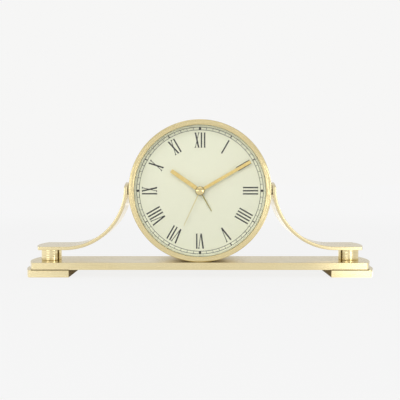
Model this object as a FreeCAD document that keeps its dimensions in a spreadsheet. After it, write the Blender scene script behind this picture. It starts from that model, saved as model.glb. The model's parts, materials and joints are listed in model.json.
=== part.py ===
import FreeCAD, Part
import Sketcher
import math
import os
import re

# Tambour mantel clock, in millimetres.
# +Z is up, the dial faces -Y, and the origin is on the ground under the middle of the clock.
# Every y position is measured from the middle of the base plate's depth, and grows to the back.

SIZES = {
    # Base plate: a flat bar whose two ends bow outwards
    "base_length": 309.0,
    "base_depth": 52.0,
    "base_thickness": 6.4,
    "end_bow_radius": 64.0,
    "corner_rounding": 2.0,
    "edge_rounding": 0.4,
    # Feet and the felt under them
    "foot_length": 41.3,
    "foot_overhang": 3.0,
    "foot_height": 6.7,
    "felt_thickness": 0.3,
    "felt_margin": 3.0,
    # Posts, and the screw and washer that clamp foot, plate and post together
    "post_inset": 17.9,
    "post_diameter": 18.4,
    "post_height": 10.8,
    "post_edge_chamfer": 0.35,
    "post_screw_diameter": 5.0,
    "post_screw_head_diameter": 8.5,
    "post_screw_head_height": 3.0,
    "post_screw_web": 2.0,
    "post_screw_engagement": 5.5,
    "washer_diameter": 10.0,
    "washer_thickness": 0.8,
    # Foot screws
    "foot_screw_inset": 32.5,
    "foot_screw_spread": 32.0,
    "foot_screw_diameter": 4.0,
    "foot_screw_head_diameter": 7.0,
    "foot_screw_head_height": 2.2,
    "foot_screw_web": 3.6,
    "foot_screw_engagement": 4.0,
    # Straps: flat strips bent through a quarter circle, standing off the drum by arm_drum_gap.
    # Each runs flat for arm_flat_run in from the post's axis, and straight up for at least arm_upright_run
    "arm_thickness": 2.4,
    "arm_depth": 44.0,
    "arm_bow_radius": 60.0,
    "arm_overhang": 11.65,
    "arm_flat_run": 15.9,
    "arm_upright_run": 4.1,
    "arm_drum_gap": 1.0,
    "arm_rise": 7.6,
    "arm_stud_length": 4.2,
    "arm_spacer_diameter": 9.0,
    "arm_screw_diameter": 3.0,
    "arm_screw_head_diameter": 5.6,
    "arm_screw_head_height": 1.8,
    "arm_screw_depth": 1.7,
    "arm_screw_front": -1.0,
    "arm_screw_rear": 13.0,
    # Drum shell, with the small inner bead that the mounting plate rests on
    "drum_diameter": 127.0,
    "drum_wall": 2.0,
    "drum_rear": 21.5,
    "drum_edge_chamfer": 0.5,
    "drum_bead_height": 1.2,
    "drum_bead_width": 1.2,
    "drum_screw_front": -5.0,
    "drum_screw_rear": 3.0,
    "drum_screw_diameter": 4.0,
    "drum_screw_head_diameter": 7.0,
    "drum_screw_head_height": 2.8,
    "drum_screw_web": 3.2,
    "nut_plate_width": 22.0,
    "nut_plate_front": -7.8,
    "nut_plate_depth": 13.6,
    "nut_plate_thickness": 5.0,
    # Bezel, glass and the ring between glass and dial
    "bezel_front": -22.45,
    "bezel_thickness": 3.0,
    "bezel_rim_width": 4.7,
    "bezel_lip": 1.0,
    "bezel_inner_rounding": 0.4,
    "bezel_outer_rounding": 0.7,
    "spigot_wall": 1.2,
    "glass_thickness": 1.5,
    "dial_ring_taper": 0.7,
    # Dial and the plate behind it
    "dial_front": -12.5,
    "dial_thickness": 0.8,
    "mounting_plate_thickness": 2.0,
    # Pillars, rear cover and its screws
    "pillar_inset": 7.5,
    "pillar_diameter": 5.0,
    "pillar_rivet_diameter": 2.9,
    "cover_thickness": 2.0,
    "cover_window_margin": 0.5,
    "cover_screw_diameter": 3.0,
    "cover_screw_head_diameter": 5.4,
    "cover_screw_head_height": 1.7,
    "cover_screw_length": 9.0,
    "sound_hole_diameter": 2.2,
    "sound_hole_pitch": 4.4,
    # Movement case, a square box in two halves that holds an AA cell across its foot
    "gasket_diameter": 48.0,
    "gasket_thickness": 0.5,
    "movement_side": 56.0,
    "movement_depth": 18.0,
    "movement_split": 6.5,
    "case_wall": 1.5,
    "case_corner_rounding": 3.0,
    "stem_diameter": 7.2,
    "stem_proud": 0.5,
    "ear_reach": 6.5,
    "ear_height": 8.0,
    "ear_thickness": 2.0,
    "ear_centre_height": 21.0,
    "ear_screw_diameter": 2.6,
    "ear_screw_head_diameter": 4.6,
    "ear_screw_head_height": 1.4,
    "ear_screw_length": 4.0,
    "battery_diameter": 14.2,
    "battery_length": 49.2,
    "battery_tip_diameter": 5.5,
    "battery_tip_length": 1.3,
    "battery_rest_gap": 0.2,
    "contact_thickness": 0.4,
    "contact_width": 9.0,
    "shelf_thickness": 1.1,
    # Layers of the wheel train, counted back from the front wall of the movement: 0 alarm wheel, 1 hour
    # wheel, 2 minute wheel, 3 centre wheel, 4 train plate, 5 third wheel, 6 second wheel, 7 intermediate
    # wheel, 8 rotor magnet, 10 rear pivots
    "layer_pitch": 1.25,
    "wheel_thickness": 0.8,
    "first_layer_gap": 0.3,
    "pivot_diameter": 0.8,
    "boss_diameter": 1.6,
    "train_plate_thickness": 0.7,
    "train_plate_half_width": 18.0,
    "train_plate_top": 17.0,
    "train_plate_bottom": -9.0,
    "stud_diameter": 2.6,
    # Wheel modules and tooth counts
    "rotor_module": 0.25,
    "rotor_pinion_teeth": 8,
    "intermediate_wheel_teeth": 40,
    "intermediate_module": 0.22,
    "intermediate_pinion_teeth": 8,
    "second_wheel_teeth": 48,
    "third_arbor_distance": 7.2,
    "second_pinion_teeth": 8,
    "third_wheel_teeth": 60,
    "third_pinion_teeth": 8,
    "centre_wheel_teeth": 64,
    "minute_arbor_distance": 7.5,
    "cannon_pinion_teeth": 12,
    "minute_wheel_teeth": 36,
    "minute_pinion_teeth": 10,
    "hour_wheel_teeth": 40,
    "alarm_arbor_distance": 8.1,
    "alarm_arbor_direction": -60.0,
    "alarm_pinion_teeth": 18,
    "alarm_wheel_teeth": 36,
    # Nested tubes on the centre arbor, each running on the next with running_clearance
    "running_clearance": 0.1,
    "second_arbor_diameter": 1.0,
    "cannon_tube_wall": 0.8,
    "hour_tube_wall": 0.6,
    "alarm_tube_wall": 0.6,
    "side_arbor_diameter": 1.6,
    # Motor: rotor magnet, stator plate, coil
    "magnet_diameter": 5.2,
    "magnet_length": 2.0,
    "rotor_air_gap": 0.4,
    "stator_half_width": 13.0,
    "stator_foot_width": 4.0,
    "stator_height": 13.5,
    "stator_drop": 3.6,
    "stator_web": 8.0,
    "stator_thickness": 0.8,
    "coil_core_width": 3.0,
    "coil_flange_diameter": 5.4,
    "coil_flange_width": 1.0,
    "coil_winding_diameter": 5.0,
    "coil_tube_diameter": 4.0,
    "coil_length": 16.0,
    "stator_boss_offset": 11.0,
    # Circuit board, crystal and buzzer
    "board_left": 14.5,
    "board_width": 11.5,
    "board_bottom": -9.0,
    "board_height": 35.0,
    "board_thickness": 1.0,
    "board_standoff": 1.7,
    "board_boss_low_inset": 1.6,
    "board_boss_high_inset": 11.0,
    "crystal_diameter": 2.0,
    "crystal_length": 6.0,
    "crystal_height": -3.0,
    "buzzer_offset": -20.0,
    "buzzer_height": 18.0,
    "buzzer_diameter": 9.6,
    "buzzer_length": 5.0,
    # Controls on the back of the movement
    "knob_diameter": 9.6,
    "knob_length": 5.0,
    "knob_gap": 0.5,
    "knob_flute_diameter": 1.0,
    "knob_flutes": 20,
    "switch_offset": 19.0,
    "switch_height": 20.0,
    "switch_travel": 5.0,
    "switch_plate_width": 7.0,
    "switch_plate_height": 5.0,
    "switch_plate_thickness": 0.9,
    "switch_neck_width": 2.4,
    "switch_neck_height": 2.6,
    "switch_button_width": 5.0,
    "switch_button_height": 4.0,
    "switch_button_length": 1.8,
    # Hands: each a flat strip on a round boss, stacked in front of the dial
    "hand_boss_diameter": 7.8,
    "alarm_hand_front": -15.4,
    "alarm_hand_thickness": 0.3,
    "alarm_hand_length": 21.2,
    "alarm_hand_root_width": 1.2,
    "alarm_hand_tip_width": 0.8,
    "hour_hand_front": -16.2,
    "hour_hand_thickness": 0.4,
    "hour_hand_length": 31.5,
    "hour_hand_width": 3.3,
    "minute_hand_front": -17.2,
    "minute_hand_thickness": 0.4,
    "minute_hand_inset": 6.6,
    "minute_hand_width": 2.6,
    "hand_tip_rounding": 0.7,
    "second_hand_front": -17.95,
    "second_hand_thickness": 0.25,
    "second_hand_length": 34.5,
    "second_hand_root_width": 0.9,
    "second_hand_tip_width": 0.4,
    "cap_diameter": 8.5,
    "cap_front": -19.5,
    "cap_edge": 0.5,
    # Fits
    "screw_clearance": 0.2,
    "thread_clearance": 0.05,
    "seat_clearance": 0.03,
    "slide_clearance": 0.15,
    "body_clearance": 0.3,
    "overrun": 5.0,
}

# Sizes that follow from the ones above, worked out in the sheet itself
DERIVED = {
    "plate_bottom": "felt_thickness + foot_height",
    "plate_top": "plate_bottom + base_thickness",
    "base_bow_depth": "end_bow_radius - sqrt(end_bow_radius ^ 2 - base_depth ^ 2 / 4)",
    "foot_reach": "base_length / 2 + foot_overhang",
    "post_offset": "base_length / 2 - post_inset",
    "foot_screw_offset": "base_length / 2 - foot_screw_inset",
    "arm_underside": "plate_top + post_height",
    "arm_bow_depth": "arm_bow_radius - sqrt(arm_bow_radius ^ 2 - arm_depth ^ 2 / 4)",
    "drum_radius": "drum_diameter / 2",
    "drum_bore": "drum_radius - drum_wall",
    "axis_height": "plate_top + drum_radius",
    "arm_inner": "drum_radius + arm_drum_gap",
    "arm_top": "axis_height + arm_rise",
    "arm_reach": "post_offset + arm_overhang",
    "arm_room_across": "post_offset - arm_flat_run - arm_inner",
    "arm_room_upright": "arm_top - arm_upright_run - arm_underside",
    "arm_bend_outer": "min(arm_room_across; arm_room_upright)",
    "arm_bend_inner": "arm_bend_outer - arm_thickness",
    "arm_bend_centre": "arm_inner + arm_bend_outer",
    "arm_bend_height": "arm_underside + arm_bend_outer",
    "arm_screw_seat": "sqrt(drum_bore ^ 2 - arm_screw_head_diameter ^ 2 / 4) - seat_clearance",
    "bezel_back": "bezel_front + bezel_thickness",
    "bezel_opening": "drum_radius - bezel_rim_width",
    "spigot_radius": "drum_bore - thread_clearance",
    "spigot_bore": "spigot_radius - spigot_wall",
    "glass_front": "bezel_front + bezel_lip",
    "glass_back": "glass_front + glass_thickness",
    "ring_radius": "spigot_bore - seat_clearance",
    "dial_back": "dial_front + dial_thickness",
    "mounting_back": "dial_back + mounting_plate_thickness",
    "movement_front": "mounting_back + gasket_thickness",
    "movement_back": "movement_front + movement_depth",
    "movement_parting": "movement_front + movement_split",
    "inside_front": "movement_front + case_wall",
    "inside_back": "movement_back - case_wall",
    "inside_half": "movement_side / 2 - case_wall",
    "cover_back": "movement_back + seat_clearance",
    "cover_front": "cover_back - cover_thickness",
    "cover_window": "movement_side / 2 + cover_window_margin",
    "pillar_offset": "(drum_bore - pillar_inset) / sqrt(2)",
    "sound_hole_offset": "(cover_window + drum_bore) / 2",
    "ear_offset": "movement_side / 2 + ear_reach / 2",
    "battery_height": "battery_diameter / 2 + battery_rest_gap - inside_half",
    "battery_axis": "inside_front + battery_rest_gap + battery_diameter / 2",
    "shelf_bottom": "battery_height + battery_diameter / 2 + battery_rest_gap / 2",
    "stem_bore": "alarm_tube_radius + running_clearance",
    "cannon_bore": "second_arbor_diameter / 2 + running_clearance",
    "cannon_radius": "cannon_bore + cannon_tube_wall",
    "hour_bore": "cannon_radius + running_clearance",
    "hour_radius": "hour_bore + hour_tube_wall",
    "alarm_bore": "hour_radius + running_clearance",
    "alarm_tube_radius": "alarm_bore + alarm_tube_wall",
    "first_layer": "inside_front + first_layer_gap",
    "second_module": "2 * third_arbor_distance / (second_pinion_teeth + third_wheel_teeth)",
    "third_module": "2 * third_arbor_distance / (third_pinion_teeth + centre_wheel_teeth)",
    "cannon_module": "2 * minute_arbor_distance / (cannon_pinion_teeth + minute_wheel_teeth)",
    "hour_module": "2 * minute_arbor_distance / (minute_pinion_teeth + hour_wheel_teeth)",
    "alarm_module": "2 * alarm_arbor_distance / (alarm_pinion_teeth + alarm_wheel_teeth)",
    "intermediate_height": "intermediate_module * (intermediate_pinion_teeth + second_wheel_teeth) / 2",
    "rotor_distance": "rotor_module * (rotor_pinion_teeth + intermediate_wheel_teeth) / 2",
    "rotor_height": "intermediate_height + rotor_distance",
    "alarm_arbor_x": "alarm_arbor_distance * cos(alarm_arbor_direction)",
    "alarm_arbor_z": "alarm_arbor_distance * sin(alarm_arbor_direction)",
    "pivot_layer": "first_layer + 10 * layer_pitch",
    "stator_front": "first_layer + 8 * layer_pitch + (magnet_length - stator_thickness) / 2",
    "stator_back": "stator_front + stator_thickness",
    "coil_axis": "stator_back + stator_thickness / 2",
    "coil_height": "rotor_height + stator_height - coil_core_width / 2 - stator_drop",
    "board_back": "inside_back - board_standoff",
    "knob_front": "movement_back + knob_gap",
    "minute_hand_length": "bezel_opening - minute_hand_inset",
    "cap_back": "second_hand_front + second_hand_thickness",
    "cap_dome": "second_hand_front - cap_edge - cap_front",
    "cap_dome_radius": "(cap_diameter ^ 2 / 4 + cap_dome ^ 2) / (2 * cap_dome)",
}

# Angles of the hands at rest, in degrees clockwise from twelve
HOUR_HAND_ANGLE = 304.9
MINUTE_HAND_ANGLE = 60.0
SECOND_HAND_ANGLE = 205.0
ALARM_HAND_ANGLE = 150.5

# Hexagon socket of a screw, as shares of the head's diameter and height
SOCKET_REACH_SHARE = 0.3
SOCKET_DEPTH_SHARE = 0.55
SOCKET_SIDES = 6

# Sound holes in the rear cover: how many stand on each side of the middle column, row by row
SOUND_HOLE_ROWS = {-2: 1, -1: 1, 0: 2, 1: 1, 2: 1}

# Proportions of one wheel tooth, as shares of the module or of half the tooth pitch
ADDENDUM_SHARE = 0.7
DEDENDUM_SHARE = 1.3
TOOTH_THICKNESS_SHARE = 0.78
TOOTH_TIP_SHARE = 0.4
TOOTH_ROOT_SHARE = 0.95

FULL_TURN = 360.0
STRAIGHT_SHARE = math.cos(math.radians(1.0))
AXIS_ALONG_Y = FreeCAD.Rotation(FreeCAD.Vector(1, 0, 0), -90)
AXIS_TO_FRONT = FreeCAD.Rotation(FreeCAD.Vector(1, 0, 0), 90)
AXIS_ALONG_X = FreeCAD.Rotation(FreeCAD.Vector(0, 1, 0), 90)

doc = FreeCAD.newDocument("tambour_clock")
sheet = doc.addObject("Spreadsheet::Sheet", "Sizes")
ALIASES = list(SIZES) + list(DERIVED)
parts = {}


def fill_sheet():
    """Write every driving size and every derived size into the sheet, with its alias."""
    for row, alias in enumerate(ALIASES, start=1):
        content = str(SIZES[alias]) if alias in SIZES else "=" + DERIVED[alias]
        sheet.set("A%d" % row, alias)
        sheet.setAlias("B%d" % row, alias)
        sheet.set("B%d" % row, content)
    doc.recompute()


def bound(text):
    """Turn the size names in a formula into references to the sheet."""
    return re.sub(r"[a-z_]+", lambda word: refer(word.group()), text)


def refer(word):
    return "Sizes." + word if word in ALIASES else word


def value(text):
    """Work out a formula of size names as a number."""
    return float(sheet.evalExpression(bound(text)))


def new_body(label, x="0", y="0", z="0", rotation=None):
    """Start a body whose place follows the sheet."""
    body = doc.addObject("PartDesign::Body", label)
    body.Label = label
    if rotation is not None:
        body.Placement = FreeCAD.Placement(FreeCAD.Vector(0, 0, 0), rotation)
    for axis, text in (("x", x), ("y", y), ("z", z)):
        body.setExpression("Placement.Base." + axis, bound(text))
    return body


def origin_plane(body, role):
    return next(item for item in body.Origin.OriginFeatures if item.Role == role)


def arc_middle(start, end, radius, turn):
    """Middle point of an arc of under half a circle; turn is 1 for a left-hand arc and -1 for a right."""
    chord = end - start
    half = chord.Length / 2
    rise = radius - math.sqrt(max(radius * radius - half * half, 0))
    outward = FreeCAD.Vector(chord.y, -chord.x, 0).normalize() * turn
    return (start + end) / 2 + outward * rise


def dimension(sketch, kind, text, *places):
    """Add one dimension and tie it to a formula; a zero dimension puts the point on the axis instead."""
    if text == "0":
        axis = -2 if kind == "DistanceX" else -1
        sketch.addConstraint(Sketcher.Constraint("PointOnObject", places[-2], places[-1], axis))
        return
    index = sketch.addConstraint(Sketcher.Constraint(kind, *places, value(text)))
    sketch.setExpression("Constraints[%d]" % index, bound(text))


def draw(body, name, plane, outline=(), circles=(), level="0"):
    """Draw a dimensioned sketch: a closed outline of (x, y) or (x, y, arc radius, turn), and circles."""
    sketch = body.newObject("Sketcher::SketchObject", name)
    sketch.AttachmentSupport = [(origin_plane(body, plane), "")]
    sketch.MapMode = "FlatFace"
    sketch.setExpression("AttachmentOffset.Base.z", bound(level))
    corners = [FreeCAD.Vector(value(corner[0]), value(corner[1]), 0) for corner in outline]
    count = len(corners)
    for index, corner in enumerate(outline):
        start = corners[index]
        end = corners[(index + 1) % count]
        if len(corner) > 2:
            middle = arc_middle(start, end, value(corner[2]), corner[3])
            first, last = (start, end) if corner[3] > 0 else (end, start)
            sketch.addGeometry(Part.Arc(first, middle, last))
        else:
            sketch.addGeometry(Part.LineSegment(start, end))
    ends = [edge_ends(corner) for corner in outline]
    for index in range(count):
        following = (index + 1) % count
        joint = Sketcher.Constraint("Coincident", index, ends[index][1], following, ends[following][0])
        sketch.addConstraint(joint)
    for index, corner in enumerate(outline):
        dimension(sketch, "DistanceX", corner[0], -1, 1, index, ends[index][0])
        dimension(sketch, "DistanceY", corner[1], -1, 1, index, ends[index][0])
        if len(corner) > 2:
            dimension(sketch, "Radius", corner[2], index)
    for x, y, radius in circles:
        centre = FreeCAD.Vector(value(x), value(y), 0)
        index = sketch.addGeometry(Part.Circle(centre, FreeCAD.Vector(0, 0, 1), value(radius)))
        dimension(sketch, "DistanceX", x, -1, 1, index, 3)
        dimension(sketch, "DistanceY", y, -1, 1, index, 3)
        dimension(sketch, "Radius", radius, index)
    return sketch


def edge_ends(corner):
    """Numbers of an edge's start and end: arcs are drawn anticlockwise, so a right-hand arc's are swapped."""
    return (2, 1) if len(corner) > 2 and corner[3] < 0 else (1, 2)


def pad(body, sketch, length, both_ways=False, backwards=False):
    feature = body.newObject("PartDesign::Pad", sketch.Name + "_pad")
    feature.Profile = sketch
    feature.setExpression("Length", bound(length))
    feature.Midplane = both_ways
    feature.Reversed = backwards
    return feature


def pocket(body, sketch, length=None, both_ways=False, backwards=False):
    """Cut a sketch into the body, to a depth or right through it: back on XZ_Plane and down on XY_Plane."""
    feature = body.newObject("PartDesign::Pocket", sketch.Name + "_pocket")
    feature.Profile = sketch
    if length is None:
        feature.Type = "ThroughAll"
    else:
        feature.setExpression("Length", bound(length))
    feature.Midplane = both_ways
    feature.Reversed = backwards
    return feature


def revolve(body, sketch, axis="V_Axis"):
    feature = body.newObject("PartDesign::Revolution", sketch.Name + "_turned")
    feature.Profile = sketch
    feature.ReferenceAxis = (sketch, [axis])
    feature.Angle = FULL_TURN
    return feature


def round_edges(body, name, radius, chosen):
    """Round the edges of the body's tip for which chosen(edge) is true."""
    doc.recompute()
    base = body.Tip
    names = ["Edge%d" % (index + 1) for index, edge in enumerate(base.Shape.Edges) if chosen(edge)]
    feature = body.newObject("PartDesign::Fillet", name)
    feature.Base = (base, names)
    feature.setExpression("Radius", bound(radius))
    return feature


def runs_along(edge, axis):
    """An edge that runs straight along an axis."""
    direction = edge.Vertexes[-1].Point - edge.Vertexes[0].Point
    return direction.Length > 0 and abs(direction.dot(axis)) > direction.Length * STRAIGHT_SHARE


def is_upright(edge):
    return runs_along(edge, FreeCAD.Vector(0, 0, 1))


def runs_along_y(edge):
    return runs_along(edge, FreeCAD.Vector(0, 1, 0))


def is_rim(edge, level, reach):
    """An edge of the outer outline at one level: it lies flat there and is longer than reach."""
    box = edge.BoundBox
    flat = box.ZLength < value("seat_clearance") and abs(box.ZMin - level) < value("seat_clearance")
    return flat and edge.Length > reach


def turned(label, profile, x="0", y="0", z="axis_height", plane="XY_Plane", rotation=None):
    """A piece turned about its own axis; on XY_Plane the profile is (radius, y) and the axis runs along Y."""
    body = new_body(label, x, y, z, rotation)
    revolve(body, draw(body, label + "_profile", plane, profile))
    return body


def facing_plate(label, front, thickness, outline=(), circles=(), x="0", z="axis_height"):
    """A flat piece that faces the front, from the level front back by thickness."""
    body = new_body(label, x, "0", z)
    sketch = draw(body, label + "_outline", "XZ_Plane", outline, circles, "-(%s)" % front)
    pad(body, sketch, thickness, backwards=True)
    return body


def rectangle(left, right, bottom, top):
    return [(left, bottom), (right, bottom), (right, top), (left, top)]


def screw(label, diameter, head_diameter, head_height, length, x, y, z, rotation=None):
    """A cheese-head screw whose head sits behind its own origin, with a hexagon socket in the head."""
    body = new_body(label, x, y, z, rotation)
    shank = "%s / 2" % diameter
    head = "%s / 2" % head_diameter
    profile = [("0", "-" + head_height), (head, "-" + head_height), (head, "0"), (shank, "0"),
               (shank, length), ("0", length)]
    revolve(body, draw(body, label + "_profile", "XZ_Plane", profile))
    reach = "%s * %s" % (head_diameter, SOCKET_REACH_SHARE)
    turns = [FULL_TURN * side / SOCKET_SIDES for side in range(SOCKET_SIDES)]
    corners = [("%s * cos(%s)" % (reach, turn), "%s * sin(%s)" % (reach, turn)) for turn in turns]
    socket = draw(body, label + "_socket", "XY_Plane", corners, level="-" + head_height)
    pocket(body, socket, "%s * %s" % (head_height, SOCKET_DEPTH_SHARE), backwards=True)
    return body


def group(label, members):
    """Put identical pieces in one node as separate solids."""
    node = doc.addObject("Part::Compound", label)
    node.Label = label
    node.Links = members
    parts[label] = node
    return node


def mirrored(label, source):
    """The same piece on the other side of the clock."""
    node = doc.addObject("Part::Mirroring", label)
    node.Label = label
    node.Source = source
    node.Normal = FreeCAD.Vector(1, 0, 0)
    node.Base = FreeCAD.Vector(0, 0, 0)
    return node


def keep(label, node):
    """Name a finished piece as one of the clock's parts."""
    parts[label] = node
    return node


def both_sides(name, right):
    """Keep a right-hand piece and its mirror image."""
    keep("right_" + name, right)
    keep("left_" + name, mirrored("left_" + name, right))


# Base, feet and posts


def bowed_outline(left, reach, half_depth, bow_depth, radius):
    """A bar seen from above, straight at its left end and bowed at its right end."""
    return [(left, "-" + half_depth), ("%s - %s" % (reach, bow_depth), "-" + half_depth, radius, 1),
            ("%s - %s" % (reach, bow_depth), half_depth), (left, half_depth)]


def make_base_plate():
    """Flat bar with two bowed ends, drilled for the post, foot and drum screws."""
    body = new_body("base_plate", z="plate_bottom")
    corner = "base_length / 2 - base_bow_depth"
    outline = [("-(%s)" % corner, "-base_depth / 2"), (corner, "-base_depth / 2", "end_bow_radius", 1),
               (corner, "base_depth / 2"), ("-(%s)" % corner, "base_depth / 2", "end_bow_radius", 1)]
    post_hole = "post_screw_diameter / 2 + screw_clearance"
    drum_hole = "drum_screw_diameter / 2 + screw_clearance"
    holes = [("post_offset", "0", post_hole), ("-post_offset", "0", post_hole),
             ("0", "drum_screw_front", drum_hole), ("0", "drum_screw_rear", drum_hole)]
    pad(body, draw(body, "base_outline", "XY_Plane", outline, holes), "base_thickness")
    round_edges(body, "base_corners", "corner_rounding", is_upright_corner)
    for level in ("0", "base_thickness"):
        round_edges(body, "base_rim", "edge_rounding",
                    lambda edge, at=value(level): is_rim(edge, at, value("base_depth / 2")))
    heads = [("0", place, "drum_screw_head_diameter / 2 + screw_clearance")
             for place in ("drum_screw_front", "drum_screw_rear")]
    pocket(body, draw(body, "drum_screw_heads", "XY_Plane", circles=heads),
           "base_thickness - drum_screw_web", backwards=True)
    blind = [(side + "foot_screw_offset", end + "foot_screw_spread / 2",
              "foot_screw_diameter / 2 + thread_clearance") for side in ("", "-") for end in ("", "-")]
    pocket(body, draw(body, "foot_screw_holes", "XY_Plane", circles=blind),
           "foot_screw_engagement + screw_clearance", backwards=True)
    keep("base_plate", body)


def is_upright_corner(edge):
    """A straight upright edge at the front or back of the base, and not the seam of a hole."""
    inset = value("base_depth / 2") - abs(edge.Vertexes[0].Point.y)
    return is_upright(edge) and inset < value("seat_clearance")


def make_feet():
    """Bowed blocks under the ends of the plate, each with felt glued under it."""
    foot = new_body("right_foot", z="felt_thickness")
    outline = bowed_outline("foot_reach - foot_length", "foot_reach", "base_depth / 2", "base_bow_depth",
                            "end_bow_radius")
    holes = [("post_offset", "0", "post_screw_diameter / 2 + screw_clearance")]
    rows = ("foot_screw_spread / 2", "-foot_screw_spread / 2")
    screws = [("foot_screw_offset", row, "foot_screw_diameter / 2 + screw_clearance") for row in rows]
    pad(foot, draw(foot, "foot_outline", "XY_Plane", outline, holes + screws), "foot_height")
    round_edges(foot, "foot_corners", "corner_rounding",
                lambda edge: is_upright_corner(edge) and edge.CenterOfMass.x > value("post_offset"))
    for level in ("0", "foot_height"):
        round_edges(foot, "foot_rim", "edge_rounding",
                    lambda edge, at=value(level): is_rim(edge, at, value("foot_length / 2")))
    counterbore = draw(foot, "post_screw_counterbore", "XY_Plane",
                       circles=[("post_offset", "0", "washer_diameter / 2 + screw_clearance")])
    pocket(foot, counterbore, "foot_height - post_screw_web", backwards=True)
    heads = [("foot_screw_offset", row, "foot_screw_head_diameter / 2 + screw_clearance") for row in rows]
    pocket(foot, draw(foot, "foot_screw_counterbores", "XY_Plane", circles=heads),
           "foot_height - foot_screw_web", backwards=True)
    both_sides("foot", foot)
    felt = new_body("right_foot_felt")
    outline = bowed_outline("foot_reach - foot_length + felt_margin", "(foot_reach - felt_margin)",
                            "(base_depth / 2 - felt_margin)", "base_bow_depth", "end_bow_radius")
    pad(felt, draw(felt, "felt_outline", "XY_Plane", outline), "felt_thickness")
    both_sides("foot_felt", felt)


def make_posts():
    """Turned posts, bored for the clamping screw below and the strap's stud above."""
    bore = "post_screw_diameter / 2 + thread_clearance"
    radius = "post_diameter / 2"
    shoulder = "post_diameter / 2 - post_edge_chamfer"
    profile = [(bore, "0"), (shoulder, "0"), (radius, "post_edge_chamfer"),
               (radius, "post_height - post_edge_chamfer"), (shoulder, "post_height"), (bore, "post_height")]
    both_sides("post", turned("right_post", profile, x="post_offset", z="plate_top", plane="XZ_Plane"))
    seat = "plate_bottom - post_screw_web"
    length = "washer_thickness + post_screw_web + base_thickness + post_screw_engagement"
    clamp = screw("post_screw", "post_screw_diameter", "post_screw_head_diameter", "post_screw_head_height",
                  length, "post_offset", "0", seat + " - washer_thickness")
    group("post_screws", [clamp, mirrored("post_screw_left", clamp)])
    ring = [("post_screw_diameter / 2 + screw_clearance", "0"), ("washer_diameter / 2", "0"),
            ("washer_diameter / 2", "washer_thickness"),
            ("post_screw_diameter / 2 + screw_clearance", "washer_thickness")]
    washer = turned("post_washer", ring, x="post_offset", z=seat + " - washer_thickness", plane="XZ_Plane")
    group("post_washers", [washer, mirrored("post_washer_left", washer)])
    screws = []
    for end in ("", "-"):
        foot_screw = screw("foot_screw", "foot_screw_diameter", "foot_screw_head_diameter",
                           "foot_screw_head_height", "foot_screw_web + foot_screw_engagement",
                           "foot_screw_offset", end + "foot_screw_spread / 2",
                           "plate_bottom - foot_screw_web")
        screws += [foot_screw, mirrored("foot_screw_left", foot_screw)]
    group("foot_screws", screws)


# Straps between the posts and the drum


def make_arms():
    """Each strap runs in along the top of its post, bends up a quarter circle and stands beside the drum."""
    arm = new_body("right_arm")
    outer = "arm_inner"
    inner = "arm_inner + arm_thickness"
    top_face = "arm_underside + arm_thickness"
    side_view = [("arm_reach", "arm_underside"), ("arm_reach", top_face),
                 ("arm_bend_centre", top_face, "arm_bend_inner", -1), (inner, "arm_bend_height"),
                 (inner, "arm_top"), (outer, "arm_top"),
                 (outer, "arm_bend_height", "arm_bend_outer", 1), ("arm_bend_centre", "arm_underside")]
    pad(arm, draw(arm, "arm_side_view", "XZ_Plane", side_view), "arm_depth", both_ways=True)
    half = "arm_depth / 2"
    wide = "arm_depth / 2 + overrun"
    end_cut = [("arm_reach + overrun", "-(%s)" % wide), ("arm_reach + overrun", wide),
               ("arm_reach - arm_bow_depth", wide), ("arm_reach - arm_bow_depth", half, "arm_bow_radius", -1),
               ("arm_reach - arm_bow_depth", "-" + half), ("arm_reach - arm_bow_depth", "-(%s)" % wide)]
    pocket(arm, draw(arm, "arm_foot_bow", "XY_Plane", end_cut), both_ways=True)
    corner = "arm_top - arm_bow_depth"
    top_cut = [("-(%s)" % wide, "arm_top + overrun"), ("-(%s)" % wide, corner),
               ("-" + half, corner, "arm_bow_radius", -1), (half, corner), (wide, corner),
               (wide, "arm_top + overrun")]
    pocket(arm, draw(arm, "arm_top_bow", "YZ_Plane", top_cut), both_ways=True)
    holes = [(place, "axis_height", "arm_screw_diameter / 2 + thread_clearance")
             for place in ("arm_screw_front", "arm_screw_rear")]
    pocket(arm, draw(arm, "arm_screw_holes", "YZ_Plane", circles=holes), "arm_inner + arm_screw_depth",
           backwards=True)
    both_sides("arm", arm)

    stud = turned("arm_stud", [("0", "0"), ("post_screw_diameter / 2", "0"),
                               ("post_screw_diameter / 2", "arm_stud_length"), ("0", "arm_stud_length")],
                  x="post_offset", z="arm_underside - arm_stud_length", plane="XZ_Plane")
    group("arm_studs", [stud, mirrored("arm_stud_left", stud)])

    spacers = []
    screws = []
    for place in ("arm_screw_front", "arm_screw_rear"):
        spacer = make_arm_spacer(place)
        fixing = screw("arm_screw", "arm_screw_diameter", "arm_screw_head_diameter", "arm_screw_head_height",
                       "arm_inner + arm_screw_depth - arm_screw_seat - thread_clearance", "arm_screw_seat",
                       place, "axis_height", AXIS_ALONG_X)
        spacers += [spacer, mirrored("arm_spacer_left", spacer)]
        screws += [fixing, mirrored("arm_screw_left", fixing)]
    group("arm_spacers", spacers)
    group("arm_screws", screws)


def round_bar(label, radius, length, x, y, z, rotation):
    """A plain cylinder that runs along its own axis from x, y, z."""
    bar = doc.addObject("Part::Cylinder", label)
    bar.Label = label
    bar.Placement = FreeCAD.Placement(FreeCAD.Vector(0, 0, 0), rotation)
    bar.setExpression("Radius", bound(radius))
    bar.setExpression("Height", bound(length))
    for axis, text in (("x", x), ("y", y), ("z", z)):
        bar.setExpression("Placement.Base." + axis, bound(text))
    return bar


def square_block(label, length, depth, height, x, y, z):
    """A plain block whose lowest corner is at x, y, z."""
    block = doc.addObject("Part::Box", label)
    block.Label = label
    for side, text in (("Length", length), ("Width", depth), ("Height", height), ("Placement.Base.x", x),
                       ("Placement.Base.y", y), ("Placement.Base.z", z)):
        block.setExpression(side, bound(text))
    return block


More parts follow.
